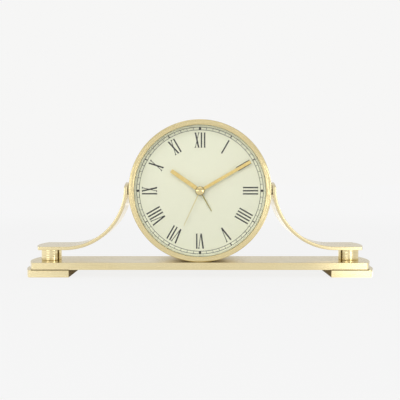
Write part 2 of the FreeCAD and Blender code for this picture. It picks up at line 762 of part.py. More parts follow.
def cut(label, base, tool):
    result = doc.addObject("Part::Cut", label)
    result.Label = label
    result.Base = base
    result.Tool = tool
    return result


def make_arm_spacer(place):
    """A short round spacer, saddled to the drum on one side and to the strap's bend on the other."""
    blank = round_bar("spacer_blank", "arm_spacer_diameter / 2", "arm_drum_gap + 2 * overrun",
                      "drum_radius - overrun", place, "axis_height", AXIS_ALONG_X)
    hole = round_bar("spacer_hole", "arm_screw_diameter / 2 + screw_clearance", "arm_drum_gap + 2 * overrun",
                     "drum_radius - overrun", place, "axis_height", AXIS_ALONG_X)
    drum = round_bar("spacer_drum_side", "drum_radius + seat_clearance", "drum_diameter", "0",
                     "-drum_radius", "axis_height", AXIS_ALONG_Y)
    bend = round_bar("spacer_strap_side", "arm_bend_outer + seat_clearance", "drum_diameter",
                     "arm_bend_centre", "-drum_radius", "arm_bend_height", AXIS_ALONG_Y)
    upright = square_block("spacer_upright_side", "overrun + arm_bend_outer", "drum_diameter",
                           "drum_diameter", "arm_inner - seat_clearance", "-drum_radius", "arm_bend_height")
    spacer = blank
    for label, tool in (("spacer_bored", hole), ("spacer_saddled", drum), ("spacer_fitted", bend),
                        ("arm_spacer", upright)):
        spacer = cut(label, spacer, tool)
    return spacer


# Drum, bezel, glass and dial


def make_drum():
    """The drum's shell is a turned tube with an inner bead, drilled at its sides and its foot."""
    bead_front = "mounting_back"
    bead_back = "mounting_back + drum_bead_width"
    bead = "drum_bore - drum_bead_height"
    shell = turned("drum_shell", [
        ("drum_bore", "bezel_back"), ("drum_radius", "bezel_back"),
        ("drum_radius", "drum_rear - drum_edge_chamfer"), ("drum_radius - drum_edge_chamfer", "drum_rear"),
        ("drum_bore", "drum_rear"), ("drum_bore", bead_back), (bead, bead_back), (bead, bead_front),
        ("drum_bore", bead_front)])
    side_holes = [(place, "0", "arm_screw_diameter / 2 + screw_clearance")
                  for place in ("arm_screw_front", "arm_screw_rear")]
    pocket(shell, draw(shell, "drum_side_holes", "YZ_Plane", circles=side_holes), both_ways=True)
    foot_holes = [("0", place, "drum_screw_diameter / 2 + screw_clearance")
                  for place in ("drum_screw_front", "drum_screw_rear")]
    pocket(shell, draw(shell, "drum_foot_holes", "XY_Plane", circles=foot_holes))
    keep("drum_shell", shell)

    under_head = "plate_bottom + base_thickness - drum_screw_web"
    length = "drum_screw_web + drum_wall + nut_plate_thickness"
    group("drum_screws", [
        screw("drum_screw", "drum_screw_diameter", "drum_screw_head_diameter", "drum_screw_head_height",
              length, "0", place, under_head) for place in ("drum_screw_front", "drum_screw_rear")])

    plate = new_body("drum_nut_plate", z="axis_height")
    saddle = "drum_bore - seat_clearance"
    foot = "-sqrt((%s) ^ 2 - nut_plate_width ^ 2 / 4)" % saddle
    top = "nut_plate_thickness - (%s)" % saddle
    section = [("-nut_plate_width / 2", foot, saddle, 1), ("nut_plate_width / 2", foot),
               ("nut_plate_width / 2", top), ("-nut_plate_width / 2", top)]
    sketch = draw(plate, "nut_plate_section", "XZ_Plane", section, level="-nut_plate_front")
    pad(plate, sketch, "nut_plate_depth", backwards=True)
    holes = [("0", place, "drum_screw_diameter / 2 + thread_clearance")
             for place in ("drum_screw_front", "drum_screw_rear")]
    pocket(plate, draw(plate, "nut_plate_holes", "XY_Plane", circles=holes))
    keep("drum_nut_plate", plate)


def make_front():
    """Bezel with its spigot, the glass behind its lip, the tapered ring, the dial and the mounting plate."""
    inner = "bezel_inner_rounding"
    outer = "bezel_outer_rounding"
    spigot_back = "dial_back - body_clearance"
    keep("bezel", turned("bezel", [
        ("bezel_opening", "bezel_front + bezel_lip"), ("bezel_opening", "bezel_front + " + inner, inner, 1),
        ("bezel_opening + " + inner, "bezel_front"), ("drum_radius - " + outer, "bezel_front", outer, 1),
        ("drum_radius", "bezel_front + " + outer), ("drum_radius", "bezel_back - seat_clearance"),
        ("spigot_radius", "bezel_back - seat_clearance"), ("spigot_radius", spigot_back),
        ("spigot_bore", spigot_back), ("spigot_bore", "bezel_front + bezel_lip")]))
    keep("glass_lens", turned("glass_lens", [
        ("0", "glass_front"), ("ring_radius", "glass_front"), ("ring_radius", "glass_back"),
        ("0", "glass_back")]))
    keep("dial_ring", turned("dial_ring", [
        ("bezel_opening", "glass_back"), ("ring_radius", "glass_back"), ("ring_radius", "dial_front"),
        ("bezel_opening - dial_ring_taper", "dial_front")]))
    stem_hole = "stem_diameter / 2 + screw_clearance"
    keep("dial_plate", turned("dial_plate", [
        (stem_hole, "dial_front"), ("ring_radius", "dial_front"), ("ring_radius", "dial_back"),
        (stem_hole, "dial_back")]))
    rim = "drum_bore - screw_clearance"
    plate = turned("mounting_plate", [
        (stem_hole, "dial_back"), (rim, "dial_back"), (rim, "mounting_back"), (stem_hole, "mounting_back")])
    rivets = [(side + "pillar_offset", end + "pillar_offset", "pillar_rivet_diameter / 2 + thread_clearance")
              for side in ("", "-") for end in ("", "-")]
    ears = [(side + "ear_offset", end + "ear_centre_height", "ear_screw_diameter / 2 + thread_clearance")
            for side in ("", "-") for end in ("", "-")]
    pocket(plate, draw(plate, "mounting_holes", "XZ_Plane", circles=rivets + ears), both_ways=True)
    keep("mounting_plate", plate)


def make_rear():
    """Four riveted pillars carry the rear cover, whose square window lets the movement's back through."""
    pillars = []
    screws = []
    for side in ("", "-"):
        for end in ("", "-"):
            x = side + "pillar_offset"
            z = "axis_height + (%spillar_offset)" % end
            bore = "cover_screw_diameter / 2 + thread_clearance"
            bore_front = "cover_front - cover_screw_length"
            rivet = "pillar_rivet_diameter / 2"
            rivet_front = "dial_back + seat_clearance"
            pillars.append(turned("cover_pillar", [
                ("0", rivet_front), (rivet, rivet_front), (rivet, "mounting_back"),
                ("pillar_diameter / 2", "mounting_back"), ("pillar_diameter / 2", "cover_front"),
                (bore, "cover_front"), (bore, bore_front), ("0", bore_front)], x=x, z=z))
            screws.append(screw("rear_cover_screw", "cover_screw_diameter", "cover_screw_head_diameter",
                                "cover_screw_head_height",
                                "cover_thickness + cover_screw_length - body_clearance", x, "cover_back", z,
                                AXIS_TO_FRONT))
    group("cover_pillars", pillars)
    cover = facing_plate("rear_cover", "cover_front", "cover_thickness",
                         rectangle("-cover_window", "cover_window", "-cover_window", "cover_window"),
                         [("0", "0", "drum_bore - screw_clearance")])
    holes = [(side + "pillar_offset", end + "pillar_offset", "cover_screw_diameter / 2 + screw_clearance")
             for side in ("", "-") for end in ("", "-")]
    sound = [("sound_hole_offset + %s" % times(column, "sound_hole_pitch"), times(row, "sound_hole_pitch"),
              "sound_hole_diameter / 2")
             for row, reach in SOUND_HOLE_ROWS.items() for column in range(-reach, reach + 1)]
    pocket(cover, draw(cover, "cover_holes", "XZ_Plane", circles=holes + sound), both_ways=True)
    keep("rear_cover", cover)
    group("rear_cover_screws", screws)


def times(count, size):
    """A formula for so many times a size."""
    return "%d * %s" % (count, size) if count else "0"


# Movement case


def make_front_case():
    """Open box with the hollow stem in front, four ears, studs for the train plate and blind pivots."""
    half = "movement_side / 2"
    case = facing_plate("movement_front_case", "movement_front", "movement_split",
                        rectangle("-" + half, half, "-" + half, half))
    round_edges(case, "front_case_corners", "case_corner_rounding", runs_along_y)
    inside = rectangle("-inside_half", "inside_half", "-inside_half", "inside_half")
    pocket(case, draw(case, "front_case_inside", "XZ_Plane", inside, level="-inside_front"), "movement_split")
    return case


def finish_front_case(case):
    stem = [("0", "0", "stem_diameter / 2")]
    proud = "movement_front - dial_front + stem_proud"
    pad(case, draw(case, "stem", "XZ_Plane", circles=stem, level="-movement_front"), proud)
    ear_low = "ear_centre_height - ear_height / 2"
    ear_high = "ear_centre_height + ear_height / 2"
    edge = "movement_side / 2 - case_wall / 2"
    tip = "movement_side / 2 + ear_reach"
    bore = "ear_screw_diameter / 2 + screw_clearance"
    for side in ("", "-"):
        for end in ("", "-"):
            ear = rectangle("%s(%s)" % (side, edge), "%s(%s)" % (side, tip), "%s(%s)" % (end, ear_low),
                            "%s(%s)" % (end, ear_high))
            hole = [(side + "ear_offset", end + "ear_centre_height", bore)]
            pad(case, draw(case, "ear", "XZ_Plane", ear, hole, level="-movement_front"), "ear_thickness",
                backwards=True)
    studs = [(side + "(train_plate_half_width - stud_diameter / 2)", level, "stud_diameter / 2")
             for side in ("", "-")
             for level in ("train_plate_top - stud_diameter / 2", "train_plate_bottom + stud_diameter / 2")]
    pad(case, draw(case, "train_plate_studs", "XZ_Plane", circles=studs, level="-inside_front"),
        "first_layer_gap + 4 * layer_pitch", backwards=True)
    boss = [("third_arbor_distance", "0", "boss_diameter / 2")]
    pad(case, draw(case, "third_arbor_boss", "XZ_Plane", circles=boss, level="-inside_front"),
        "3 * layer_pitch", backwards=True)
    pocket(case, draw(case, "stem_bore", "XZ_Plane", circles=[("0", "0", "stem_bore")]), both_ways=True)
    blind = "side_arbor_diameter / 4 + running_clearance"
    pivots = [("-minute_arbor_distance", "0", blind), ("alarm_arbor_x", "alarm_arbor_z", blind)]
    pocket(case, draw(case, "side_arbor_pivots", "XZ_Plane", circles=pivots, level="-inside_front"),
           "case_wall / 2", backwards=True)
    hole = [("third_arbor_distance", "0", "pivot_diameter / 2 + running_clearance / 2")]
    level = "-(inside_front + 3 * layer_pitch)"
    pocket(case, draw(case, "third_arbor_pivot", "XZ_Plane", circles=hole, level=level), "layer_pitch",
           backwards=True)
    keep("movement_front_case", case)


def boss_on_back(case, name, x, z, radius, front):
    """A round boss that stands forward from the inside of the back wall."""
    pad(case, draw(case, name, "XZ_Plane", circles=[(x, z, radius)], level="-inside_back"),
        "inside_back - (%s)" % front)


def make_back_case():
    """Open box with a battery bay through its back, a shelf over it, bosses and the control openings."""
    half = "movement_side / 2"
    depth = "movement_back - movement_parting"
    case = facing_plate("movement_back_case", "movement_parting", depth,
                        rectangle("-" + half, half, "-" + half, half))
    round_edges(case, "back_case_corners", "case_corner_rounding", runs_along_y)
    inside = rectangle("-inside_half", "inside_half", "-inside_half", "inside_half")
    pocket(case, draw(case, "back_case_inside", "XZ_Plane", inside, level="-inside_back"), depth,
           backwards=True)
    shelf = rectangle("-(inside_half)", "inside_half", "shelf_bottom", "shelf_bottom + shelf_thickness")
    pad(case, draw(case, "battery_shelf", "XZ_Plane", shelf, level="-inside_back"),
        "inside_back - inside_front - battery_rest_gap")
    for name, height in (("intermediate_boss", "intermediate_height"), ("rotor_boss", "rotor_height")):
        boss_on_back(case, name, "0", height, "boss_diameter / 2", "pivot_layer + running_clearance")
    boss_on_back(case, "second_boss", "0", "0", "boss_diameter / 2", "first_layer + 7 * layer_pitch")
    boss_on_back(case, "third_boss", "third_arbor_distance", "0", "boss_diameter / 2",
                 "first_layer + 6 * layer_pitch")
    for side in ("", "-"):
        boss_on_back(case, "stator_boss", side + "stator_boss_offset", "rotor_height",
                     "boss_diameter / 2", "stator_back")
    for place in ("board_bottom + board_boss_low_inset",
                  "board_bottom + board_height - board_boss_high_inset"):
        boss_on_back(case, "board_boss", "board_left + board_width - boss_diameter", place,
                     "boss_diameter / 2", "board_back")
    pivot = "pivot_diameter / 2 + running_clearance / 2"
    holes = (("intermediate_pivot", "0", "intermediate_height", "pivot_layer + running_clearance"),
             ("rotor_pivot", "0", "rotor_height", "pivot_layer + running_clearance"),
             ("second_pivot", "0", "0", "first_layer + 7 * layer_pitch"),
             ("third_pivot", "third_arbor_distance", "0", "first_layer + 6 * layer_pitch"))
    for name, x, z, front in holes:
        sketch = draw(case, name, "XZ_Plane", circles=[(x, z, pivot)], level="-(%s)" % front)
        pocket(case, sketch, "layer_pitch")
    bay = rectangle("-inside_half", "inside_half", "-inside_half", "shelf_bottom")
    pocket(case, draw(case, "battery_bay", "XZ_Plane", bay, level="-inside_back"), "case_wall + overrun")
    arbor = "side_arbor_diameter / 2 + running_clearance"
    openings = [("-minute_arbor_distance", "0", arbor), ("alarm_arbor_x", "alarm_arbor_z", arbor)]
    pocket(case, draw(case, "knob_openings", "XZ_Plane", circles=openings, level="-inside_back"),
           "case_wall + overrun")
    slot_half = "(switch_travel + switch_neck_width) / 2 + slide_clearance"
    slot_rise = "switch_neck_height / 2 + slide_clearance"
    slot = rectangle("switch_offset - (%s)" % slot_half, "switch_offset + (%s)" % slot_half,
                     "switch_height - (%s)" % slot_rise, "switch_height + (%s)" % slot_rise)
    pocket(case, draw(case, "switch_slot", "XZ_Plane", slot, level="-inside_back"), "case_wall + overrun")
    keep("movement_back_case", case)


def make_movement_fixings():
    """Rubber gasket behind the mounting plate and the four screws through the movement's ears."""
    keep("movement_gasket", turned("movement_gasket", [
        ("stem_diameter / 2 + body_clearance", "mounting_back"), ("gasket_diameter / 2", "mounting_back"),
        ("gasket_diameter / 2", "movement_front"), ("stem_diameter / 2 + body_clearance", "movement_front")]))
    group("movement_screws", [
        screw("movement_screw", "ear_screw_diameter", "ear_screw_head_diameter", "ear_screw_head_height",
              "ear_screw_length", side + "ear_offset", "movement_front + ear_thickness",
              "axis_height + (%sear_centre_height)" % end, AXIS_TO_FRONT)
        for side in ("", "-") for end in ("", "-")])


def make_train_plate():
    """Flat plate on four studs that divides the motion work from the going train."""
    bearing = "second_arbor_diameter / 2 + running_clearance / 2"
    pivot = "pivot_diameter / 2 + running_clearance / 2"
    tip = "third_module * (third_pinion_teeth / 2 + %s) + body_clearance" % ADDENDUM_SHARE
    passing = "side_arbor_diameter / 2 + body_clearance"
    holes = [("0", "0", bearing), ("third_arbor_distance", "0", tip), ("0", "intermediate_height", pivot),
             ("0", "rotor_height", pivot), ("-minute_arbor_distance", "0", passing),
             ("alarm_arbor_x", "alarm_arbor_z", passing)]
    keep("train_plate", facing_plate(
        "train_plate", "first_layer + 4 * layer_pitch", "train_plate_thickness",
        rectangle("-train_plate_half_width", "train_plate_half_width", "train_plate_bottom",
                  "train_plate_top"), holes))


# Wheels


def tooth_outline(teeth, module, first_tooth):
    """Closed wire of a toothed wheel in the XZ plane, with a tooth at the angle first_tooth in degrees."""
    pitch_radius = teeth * module / 2
    tip_radius = pitch_radius + ADDENDUM_SHARE * module
    root_radius = pitch_radius - DEDENDUM_SHARE * module
    half = math.pi / (2 * teeth) * TOOTH_THICKNESS_SHARE
    rising = ((root_radius, half * TOOTH_ROOT_SHARE), (pitch_radius, half),
              (tip_radius, half * TOOTH_TIP_SHARE))
    flanks = [(radius, -angle) for radius, angle in rising] + list(reversed(rising))
    points = []
    for tooth in range(teeth):
        centre = math.radians(first_tooth) + 2 * math.pi * tooth / teeth
        for radius, angle in flanks:
            turn = centre + angle
            points.append(FreeCAD.Vector(radius * math.cos(turn), 0, radius * math.sin(turn)))
    return Part.makePolygon(points + points[:1])


def toothed_disc(teeth, module, front, thickness, first_tooth=0):
    """A toothed wheel that faces the front, from the level front back by thickness."""
    disc = Part.Face(tooth_outline(teeth, module, first_tooth)).extrude(FreeCAD.Vector(0, thickness, 0))
    disc.translate(FreeCAD.Vector(0, front, 0))
    return disc


def bar(radius, front, back):
    """A round bar on the wheel's own axis, from front to back."""
    return Part.makeCylinder(radius, back - front, FreeCAD.Vector(0, front, 0), FreeCAD.Vector(0, 1, 0))


def layer(number):
    return value("first_layer + %d * layer_pitch" % number)


def tooth_counts():
    return {name: int(value(name)) for name in SIZES if name.endswith("_teeth")}


def tooth_facing(direction, driver_teeth, driver_first_tooth, driven_teeth):
    """First-tooth angle of a driven wheel that lies in that direction from its driver, so that they mesh."""
    lead = driver_first_tooth - direction
    return direction + FULL_TURN / 2 + FULL_TURN / 2 / driven_teeth - lead * driver_teeth / driven_teeth


def wheel(label, shapes, bore=None, x="0", z="0"):
    """Join toothed discs and bars on one axis into a wheel, bore it if asked, and set it in its place."""
    shape = shapes[0].fuse(shapes[1:]).removeSplitter()
    if bore is not None:
        box = shape.BoundBox
        shape = shape.cut(bar(bore, box.YMin - value("overrun"), box.YMax + value("overrun")))
    feature = doc.addObject("Part::Feature", label)
    feature.Label = label
    feature.Shape = shape
    feature.Placement = FreeCAD.Placement(
        FreeCAD.Vector(value(x), 0, value("axis_height + (%s)" % z)), FreeCAD.Rotation())
    return keep(label, feature)


def make_going_train():
    """Rotor, intermediate wheel, second wheel, third wheel and centre wheel."""
    thick = value("wheel_thickness")
    pivot = value("pivot_diameter / 2")
    into = value("layer_pitch") / 2
    plate_middle = layer(4) + value("train_plate_thickness") / 2
    rear_pivot = value("pivot_layer + running_clearance") + into
    teeth = tooth_counts()

    rotor_teeth = teeth["rotor_pinion_teeth"]
    wheel("rotor", [
        toothed_disc(rotor_teeth, value("rotor_module"), layer(7), value("layer_pitch")),
        bar(value("magnet_diameter / 2"), layer(8), layer(8) + value("magnet_length")),
        bar(pivot, plate_middle, rear_pivot)], z="rotor_height")

    intermediate = teeth["intermediate_wheel_teeth"]
    wheel("intermediate_wheel", [
        toothed_disc(intermediate, value("rotor_module"), layer(7), thick,
                     tooth_facing(-90, rotor_teeth, 0, intermediate)),
        toothed_disc(teeth["intermediate_pinion_teeth"], value("intermediate_module"), layer(6),
                     value("layer_pitch")),
        bar(pivot, plate_middle, rear_pivot)], z="intermediate_height")

    second = teeth["second_wheel_teeth"]
    wheel("second_wheel", [
        toothed_disc(second, value("intermediate_module"), layer(6), thick,
                     tooth_facing(-90, teeth["intermediate_pinion_teeth"], 0, second)),
        toothed_disc(teeth["second_pinion_teeth"], value("second_module"), layer(5), value("layer_pitch")),
        bar(value("second_arbor_diameter / 2"), value("second_hand_front"),
            layer(7) - value("first_layer_gap")),
        bar(pivot, layer(6), layer(7) + into)])

    third = teeth["third_wheel_teeth"]
    wheel("third_wheel", [
        toothed_disc(third, value("second_module"), layer(5), thick,
                     tooth_facing(0, teeth["second_pinion_teeth"], 0, third)),
        toothed_disc(teeth["third_pinion_teeth"], value("third_module"), layer(3), 2 * value("layer_pitch")),
        bar(pivot, layer(3) - into, layer(6) + into)], x="third_arbor_distance")

    centre = teeth["centre_wheel_teeth"]
    wheel("centre_wheel", [
        toothed_disc(centre, value("third_module"), layer(3), thick,
                     tooth_facing(FULL_TURN / 2, teeth["third_pinion_teeth"], 0, centre))],
        bore=value("cannon_radius + seat_clearance"))


def make_motion_work():
    """Cannon pinion, minute wheel, hour wheel, alarm wheel and alarm arbor."""
    thick = value("wheel_thickness")
    teeth = tooth_counts()
    knob_end = value("knob_front + knob_length - knob_gap")
    blind = value("inside_front - case_wall / 2 + running_clearance")
    side_pivot = value("side_arbor_diameter / 4")
    side_arbor = value("side_arbor_diameter / 2")

    cannon = teeth["cannon_pinion_teeth"]
    wheel("cannon_pinion", [
        toothed_disc(cannon, value("cannon_module"), layer(2), thick),
        bar(value("cannon_radius"), value("minute_hand_front"), layer(3) + thick)],
        bore=value("cannon_bore"))

    minute = teeth["minute_wheel_teeth"]
    pinion = teeth["minute_pinion_teeth"]
    wheel("minute_wheel", [
        toothed_disc(minute, value("cannon_module"), layer(2), thick, tooth_facing(180, cannon, 0, minute)),
        toothed_disc(pinion, value("hour_module"), layer(1), value("layer_pitch")),
        bar(side_pivot, blind, layer(1)), bar(side_arbor, layer(2), knob_end)], x="-minute_arbor_distance")

    hour = teeth["hour_wheel_teeth"]
    wheel("hour_wheel", [
        toothed_disc(hour, value("hour_module"), layer(1), thick, tooth_facing(0, pinion, 0, hour)),
        bar(value("hour_radius"), value("hour_hand_front"), layer(1) + thick)], bore=value("hour_bore"))

    direction = value("alarm_arbor_direction")
    alarm = teeth["alarm_wheel_teeth"]
    wheel("alarm_wheel", [
        toothed_disc(alarm, value("alarm_module"), layer(0), thick),
        bar(value("alarm_tube_radius"), value("alarm_hand_front"), layer(0) + thick)],
        bore=value("alarm_bore"))
    setting = teeth["alarm_pinion_teeth"]
    wheel("alarm_arbor", [
        toothed_disc(setting, value("alarm_module"), layer(0), thick,
                     tooth_facing(direction, alarm, 0, setting)),
        bar(side_pivot, blind, layer(0)), bar(side_arbor, layer(0), knob_end)],
        x="alarm_arbor_x", z="alarm_arbor_z")


# Motor, circuit and battery


def make_motor():
    """Stator plate with its rotor hole, and the coil on its bobbin across the stator's two feet."""
    foot = "stator_half_width - stator_foot_width"
    low = "rotor_height - stator_drop"
    waist = "rotor_height - stator_drop + stator_web"
    top = "rotor_height + stator_height - stator_drop"
    outline = [("-stator_half_width", low), ("stator_half_width", low), ("stator_half_width", top),
               (foot, top), (foot, waist), ("-(%s)" % foot, waist), ("-(%s)" % foot, top),
               ("-stator_half_width", top)]
    keep("stator", facing_plate("stator", "stator_front", "stator_thickness", outline,
                                [("0", "rotor_height", "magnet_diameter / 2 + rotor_air_gap")]))
    half = "coil_length / 2"
    core_low = "coil_height - coil_core_width / 2"
    core_high = "coil_height + coil_core_width / 2"
    core = facing_plate("coil_core", "stator_back", "stator_thickness",
                        rectangle("-stator_half_width", "stator_half_width", core_low, core_high))
    keep("coil_core", core)
    flange = "coil_flange_diameter / 2"
    tube = "coil_tube_diameter / 2"
    inner = "coil_length / 2 - coil_flange_width"
    bobbin = new_body("coil_bobbin", "0", "coil_axis", "axis_height + coil_height")
    profile = [("-" + half, "0"), ("-" + half, flange), ("-(%s)" % inner, flange), ("-(%s)" % inner, tube),
               (inner, tube), (inner, flange), (half, flange), (half, "0")]
    revolve(bobbin, draw(bobbin, "bobbin_profile", "XZ_Plane", profile), "H_Axis")
    slot = rectangle("-(stator_thickness / 2 + seat_clearance)", "stator_thickness / 2 + seat_clearance",
                     "-(coil_core_width / 2 + seat_clearance)", "coil_core_width / 2 + seat_clearance")
    pocket(bobbin, draw(bobbin, "core_slot", "YZ_Plane", slot), both_ways=True)
    keep("coil_bobbin", bobbin)
    winding = new_body("coil_winding", "0", "coil_axis", "axis_height + coil_height")
    wound = [("-(%s - seat_clearance)" % inner, tube + " + seat_clearance"),
             ("-(%s - seat_clearance)" % inner, "coil_winding_diameter / 2"),
             (inner + " - seat_clearance", "coil_winding_diameter / 2"),
             (inner + " - seat_clearance", tube + " + seat_clearance")]
    revolve(winding, draw(winding, "winding_profile", "XZ_Plane", wound), "H_Axis")
    keep("coil_winding", winding)


def make_circuit():
    """Circuit board on two bosses, the crystal on its face and the buzzer on the back wall."""
    right = "board_left + board_width"
    keep("circuit_board", facing_plate(
        "circuit_board", "board_back - board_thickness", "board_thickness",
        rectangle("board_left", right, "board_bottom", "board_bottom + board_height")))
    crystal_y = "board_back - board_thickness - crystal_diameter / 2 - seat_clearance"
    crystal = round_bar("quartz_crystal", "crystal_diameter / 2", "crystal_length",
                        "board_left + board_width / 2", crystal_y, "axis_height + crystal_height",
                        FreeCAD.Rotation())
    keep("quartz_crystal", crystal)
    buzzer_front = "inside_back - buzzer_length"
    keep("buzzer", turned("buzzer", [
        ("0", buzzer_front + " + case_wall"), ("sound_hole_diameter / 2", buzzer_front + " + case_wall"),
        ("sound_hole_diameter / 2", buzzer_front), ("buzzer_diameter / 2", buzzer_front),
        ("buzzer_diameter / 2", "inside_back"), ("0", "inside_back")], x="buzzer_offset",
        z="axis_height + buzzer_height"))


def make_battery():
    """AA cell lying across the bay between a flat contact and a sprung leaf."""
    height = "axis_height + battery_height"
    half = "(battery_length + battery_tip_length) / 2"
    cell = new_body("battery", "0", "battery_axis", height)
    shoulder = "(battery_length - battery_tip_length) / 2"
    profile = [("-(%s)" % half, "0"), ("-(%s)" % half, "battery_diameter / 2"),
               (shoulder, "battery_diameter / 2"), (shoulder, "battery_tip_diameter / 2"),
               (half, "battery_tip_diameter / 2"), (half, "0")]
    revolve(cell, draw(cell, "cell_profile", "XZ_Plane", profile), "H_Axis")
    keep("battery", cell)
    low = "battery_height - contact_width / 2"
    high = "battery_height + contact_width / 2"
    plate_front = "battery_axis - contact_width / 2"
    flat = facing_plate("positive_contact", plate_front, "contact_width",
                        rectangle(half, half + " + contact_thickness", low, high))
    keep("positive_contact", flat)
    outer = "inside_half - thread_clearance"
    leaf = [("-(%s)" % outer, low), ("contact_thickness - (%s)" % outer, low),
            ("-(%s) - thread_clearance" % half, "battery_height"),
            ("contact_thickness - (%s)" % outer, high), ("-(%s)" % outer, high),
            ("-(%s) - thread_clearance - contact_thickness" % half, "battery_height")]
    keep("negative_contact", facing_plate("negative_contact", plate_front, "contact_width", leaf))


# Controls on the back


def make_knob(label, x, z):
    """Fluted knob, bored for its arbor."""
    radius = "knob_diameter / 2"
    chamfer = "knob_flute_diameter / 2"
    bore = "side_arbor_diameter / 2 + seat_clearance"
    back = "knob_front + knob_length"
    bore_end = "knob_front + knob_length - knob_gap + seat_clearance"
    knob = turned(label, [
        (bore, "knob_front"), (radius, "knob_front"), (radius, back + " - " + chamfer),
        (radius + " - " + chamfer, back), ("0", back), ("0", bore_end), (bore, bore_end)], x=x,
        z="axis_height + (%s)" % z)
    groove = draw(knob, label + "_flute", "XZ_Plane", circles=[(radius, "0", "knob_flute_diameter / 2")])
    flute = pocket(knob, groove, both_ways=True)
    doc.recompute()
    pattern = knob.newObject("PartDesign::PolarPattern", label + "_flutes")
    pattern.Originals = [flute]
    pattern.Axis = (groove, ["N_Axis"])
    pattern.Angle = FULL_TURN
    pattern.setExpression("Occurrences", bound("knob_flutes"))
    knob.Tip = pattern
    keep(label, knob)


def make_switch():
    """Slide switch: a wiping plate inside, a neck through the slot and a ribbed button outside."""
    switch = new_body("alarm_switch", "switch_offset - switch_travel / 2", "0", "axis_height + switch_height")
    plate_half = "switch_plate_width / 2"
    plate_rise = "switch_plate_height / 2"
    plate_back = "inside_back - slide_clearance"
    plate = draw(switch, "switch_plate", "XZ_Plane",
                 rectangle("-" + plate_half, plate_half, "-" + plate_rise, plate_rise),
                 level="-(%s)" % plate_back)
    pad(switch, plate, "switch_plate_thickness")
    neck = draw(switch, "switch_neck", "XZ_Plane",
                rectangle("-switch_neck_width / 2", "switch_neck_width / 2", "-switch_neck_height / 2",
                          "switch_neck_height / 2"), level="-(%s)" % plate_back)
    pad(switch, neck, "slide_clearance * 2 + case_wall", backwards=True)
    button = draw(switch, "switch_button", "XZ_Plane",
                  rectangle("-switch_button_width / 2", "switch_button_width / 2",
                            "-switch_button_height / 2", "switch_button_height / 2"),
                  level="-(movement_back + slide_clearance)")
    pad(switch, button, "switch_button_length", backwards=True)
    keep("alarm_switch", switch)


# Hands


def hand_rotation(angle):
    """Turn a hand that points to twelve clockwise by an angle, seen from the front."""
    return FreeCAD.Rotation(FreeCAD.Vector(0, 1, 0), angle)


def make_hand(label, angle, front, thickness, strip, bore, tip_rounding=None):
    """A flat strip on a round boss, modelled at twelve and turned to its place."""
    hand = new_body(label, "0", "0", "axis_height", hand_rotation(angle))
    level = "-(%s)" % front
    boss = draw(hand, label + "_boss", "XZ_Plane", circles=[("0", "0", "hand_boss_diameter / 2")],
                level=level)
    pad(hand, boss, thickness, backwards=True)
    pad(hand, draw(hand, label + "_strip", "XZ_Plane", strip, level=level), thickness, backwards=True)
    if tip_rounding is not None:
        tip = value(strip[2][1]) - value("seat_clearance")
        round_edges(hand, label + "_tip", tip_rounding,
                    lambda edge: runs_along_y(edge) and edge.CenterOfMass.z > tip)
    pocket(hand, draw(hand, label + "_bore", "XZ_Plane", circles=[("0", "0", bore)]), both_ways=True)
    keep(label, hand)


def tapered(root, tip, length):
    """Outline of a strip from the centre, root wide there and tip wide at its end."""
    return [("-%s / 2" % root, "0"), (root + " / 2", "0"), (tip + " / 2", length), ("-%s / 2" % tip, length)]


def make_hands():
    make_hand("hour_hand", HOUR_HAND_ANGLE, "hour_hand_front", "hour_hand_thickness",
              tapered("hour_hand_width", "hour_hand_width", "hour_hand_length"),
              "hour_radius + seat_clearance", "hand_tip_rounding")
    make_hand("minute_hand", MINUTE_HAND_ANGLE, "minute_hand_front", "minute_hand_thickness",
              tapered("minute_hand_width", "minute_hand_width", "minute_hand_length"),
              "cannon_radius + seat_clearance", "hand_tip_rounding")
    make_hand("alarm_hand", ALARM_HAND_ANGLE, "alarm_hand_front", "alarm_hand_thickness",
              tapered("alarm_hand_root_width", "alarm_hand_tip_width", "alarm_hand_length"),
              "alarm_tube_radius + seat_clearance")
    hand = new_body("second_hand", "0", "0", "axis_height", hand_rotation(SECOND_HAND_ANGLE))
    cap = "cap_diameter / 2"
    profile = [("0", "cap_front", "cap_dome_radius", 1), (cap, "second_hand_front - cap_edge"),
               (cap, "cap_back"), ("0", "cap_back")]
    revolve(hand, draw(hand, "cap_profile", "XY_Plane", profile))
    strip = tapered("second_hand_root_width", "second_hand_tip_width", "second_hand_length")
    pad(hand, draw(hand, "second_strip", "XZ_Plane", strip, level="-second_hand_front"),
        "second_hand_thickness", backwards=True)
    bore = draw(hand, "second_bore", "XZ_Plane", level="-cap_back",
                circles=[("0", "0", "second_arbor_diameter / 2 + seat_clearance")])
    pocket(hand, bore, "second_hand_thickness + seat_clearance", backwards=True)
    keep("second_hand", hand)


def check_and_write():
    """Check every object and every piece, then write one file for each piece."""
    doc.recompute()
    for item in doc.Objects:
        if "Invalid" in item.State or "Error" in item.State:
            raise RuntimeError("failed: %s %s" % (item.Label, item.getStatusString()))
    os.makedirs("parts", exist_ok=True)
    for label, node in parts.items():
        shape = node.Shape
        if shape.isNull() or not shape.isValid() or not shape.Solids:
            raise RuntimeError("bad shape: " + label)
        print("%-22s solids %d volume %.2f" % (label, len(shape.Solids), shape.Volume))
    for label, node in parts.items():
        node.Shape.exportStep("parts/%s.step" % label)
    print(len(parts), "parts")


fill_sheet()
make_base_plate()
make_feet()
make_posts()
make_arms()
make_drum()
make_front()
make_rear()
finish_front_case(make_front_case())
make_back_case()
make_movement_fixings()
make_train_plate()
make_going_train()
make_motion_work()
make_motor()
make_circuit()
make_battery()
make_knob("time_set_knob", "-minute_arbor_distance", "0")
make_knob("alarm_set_knob", "alarm_arbor_x", "alarm_arbor_z")
make_switch()
make_hands()
check_and_write()
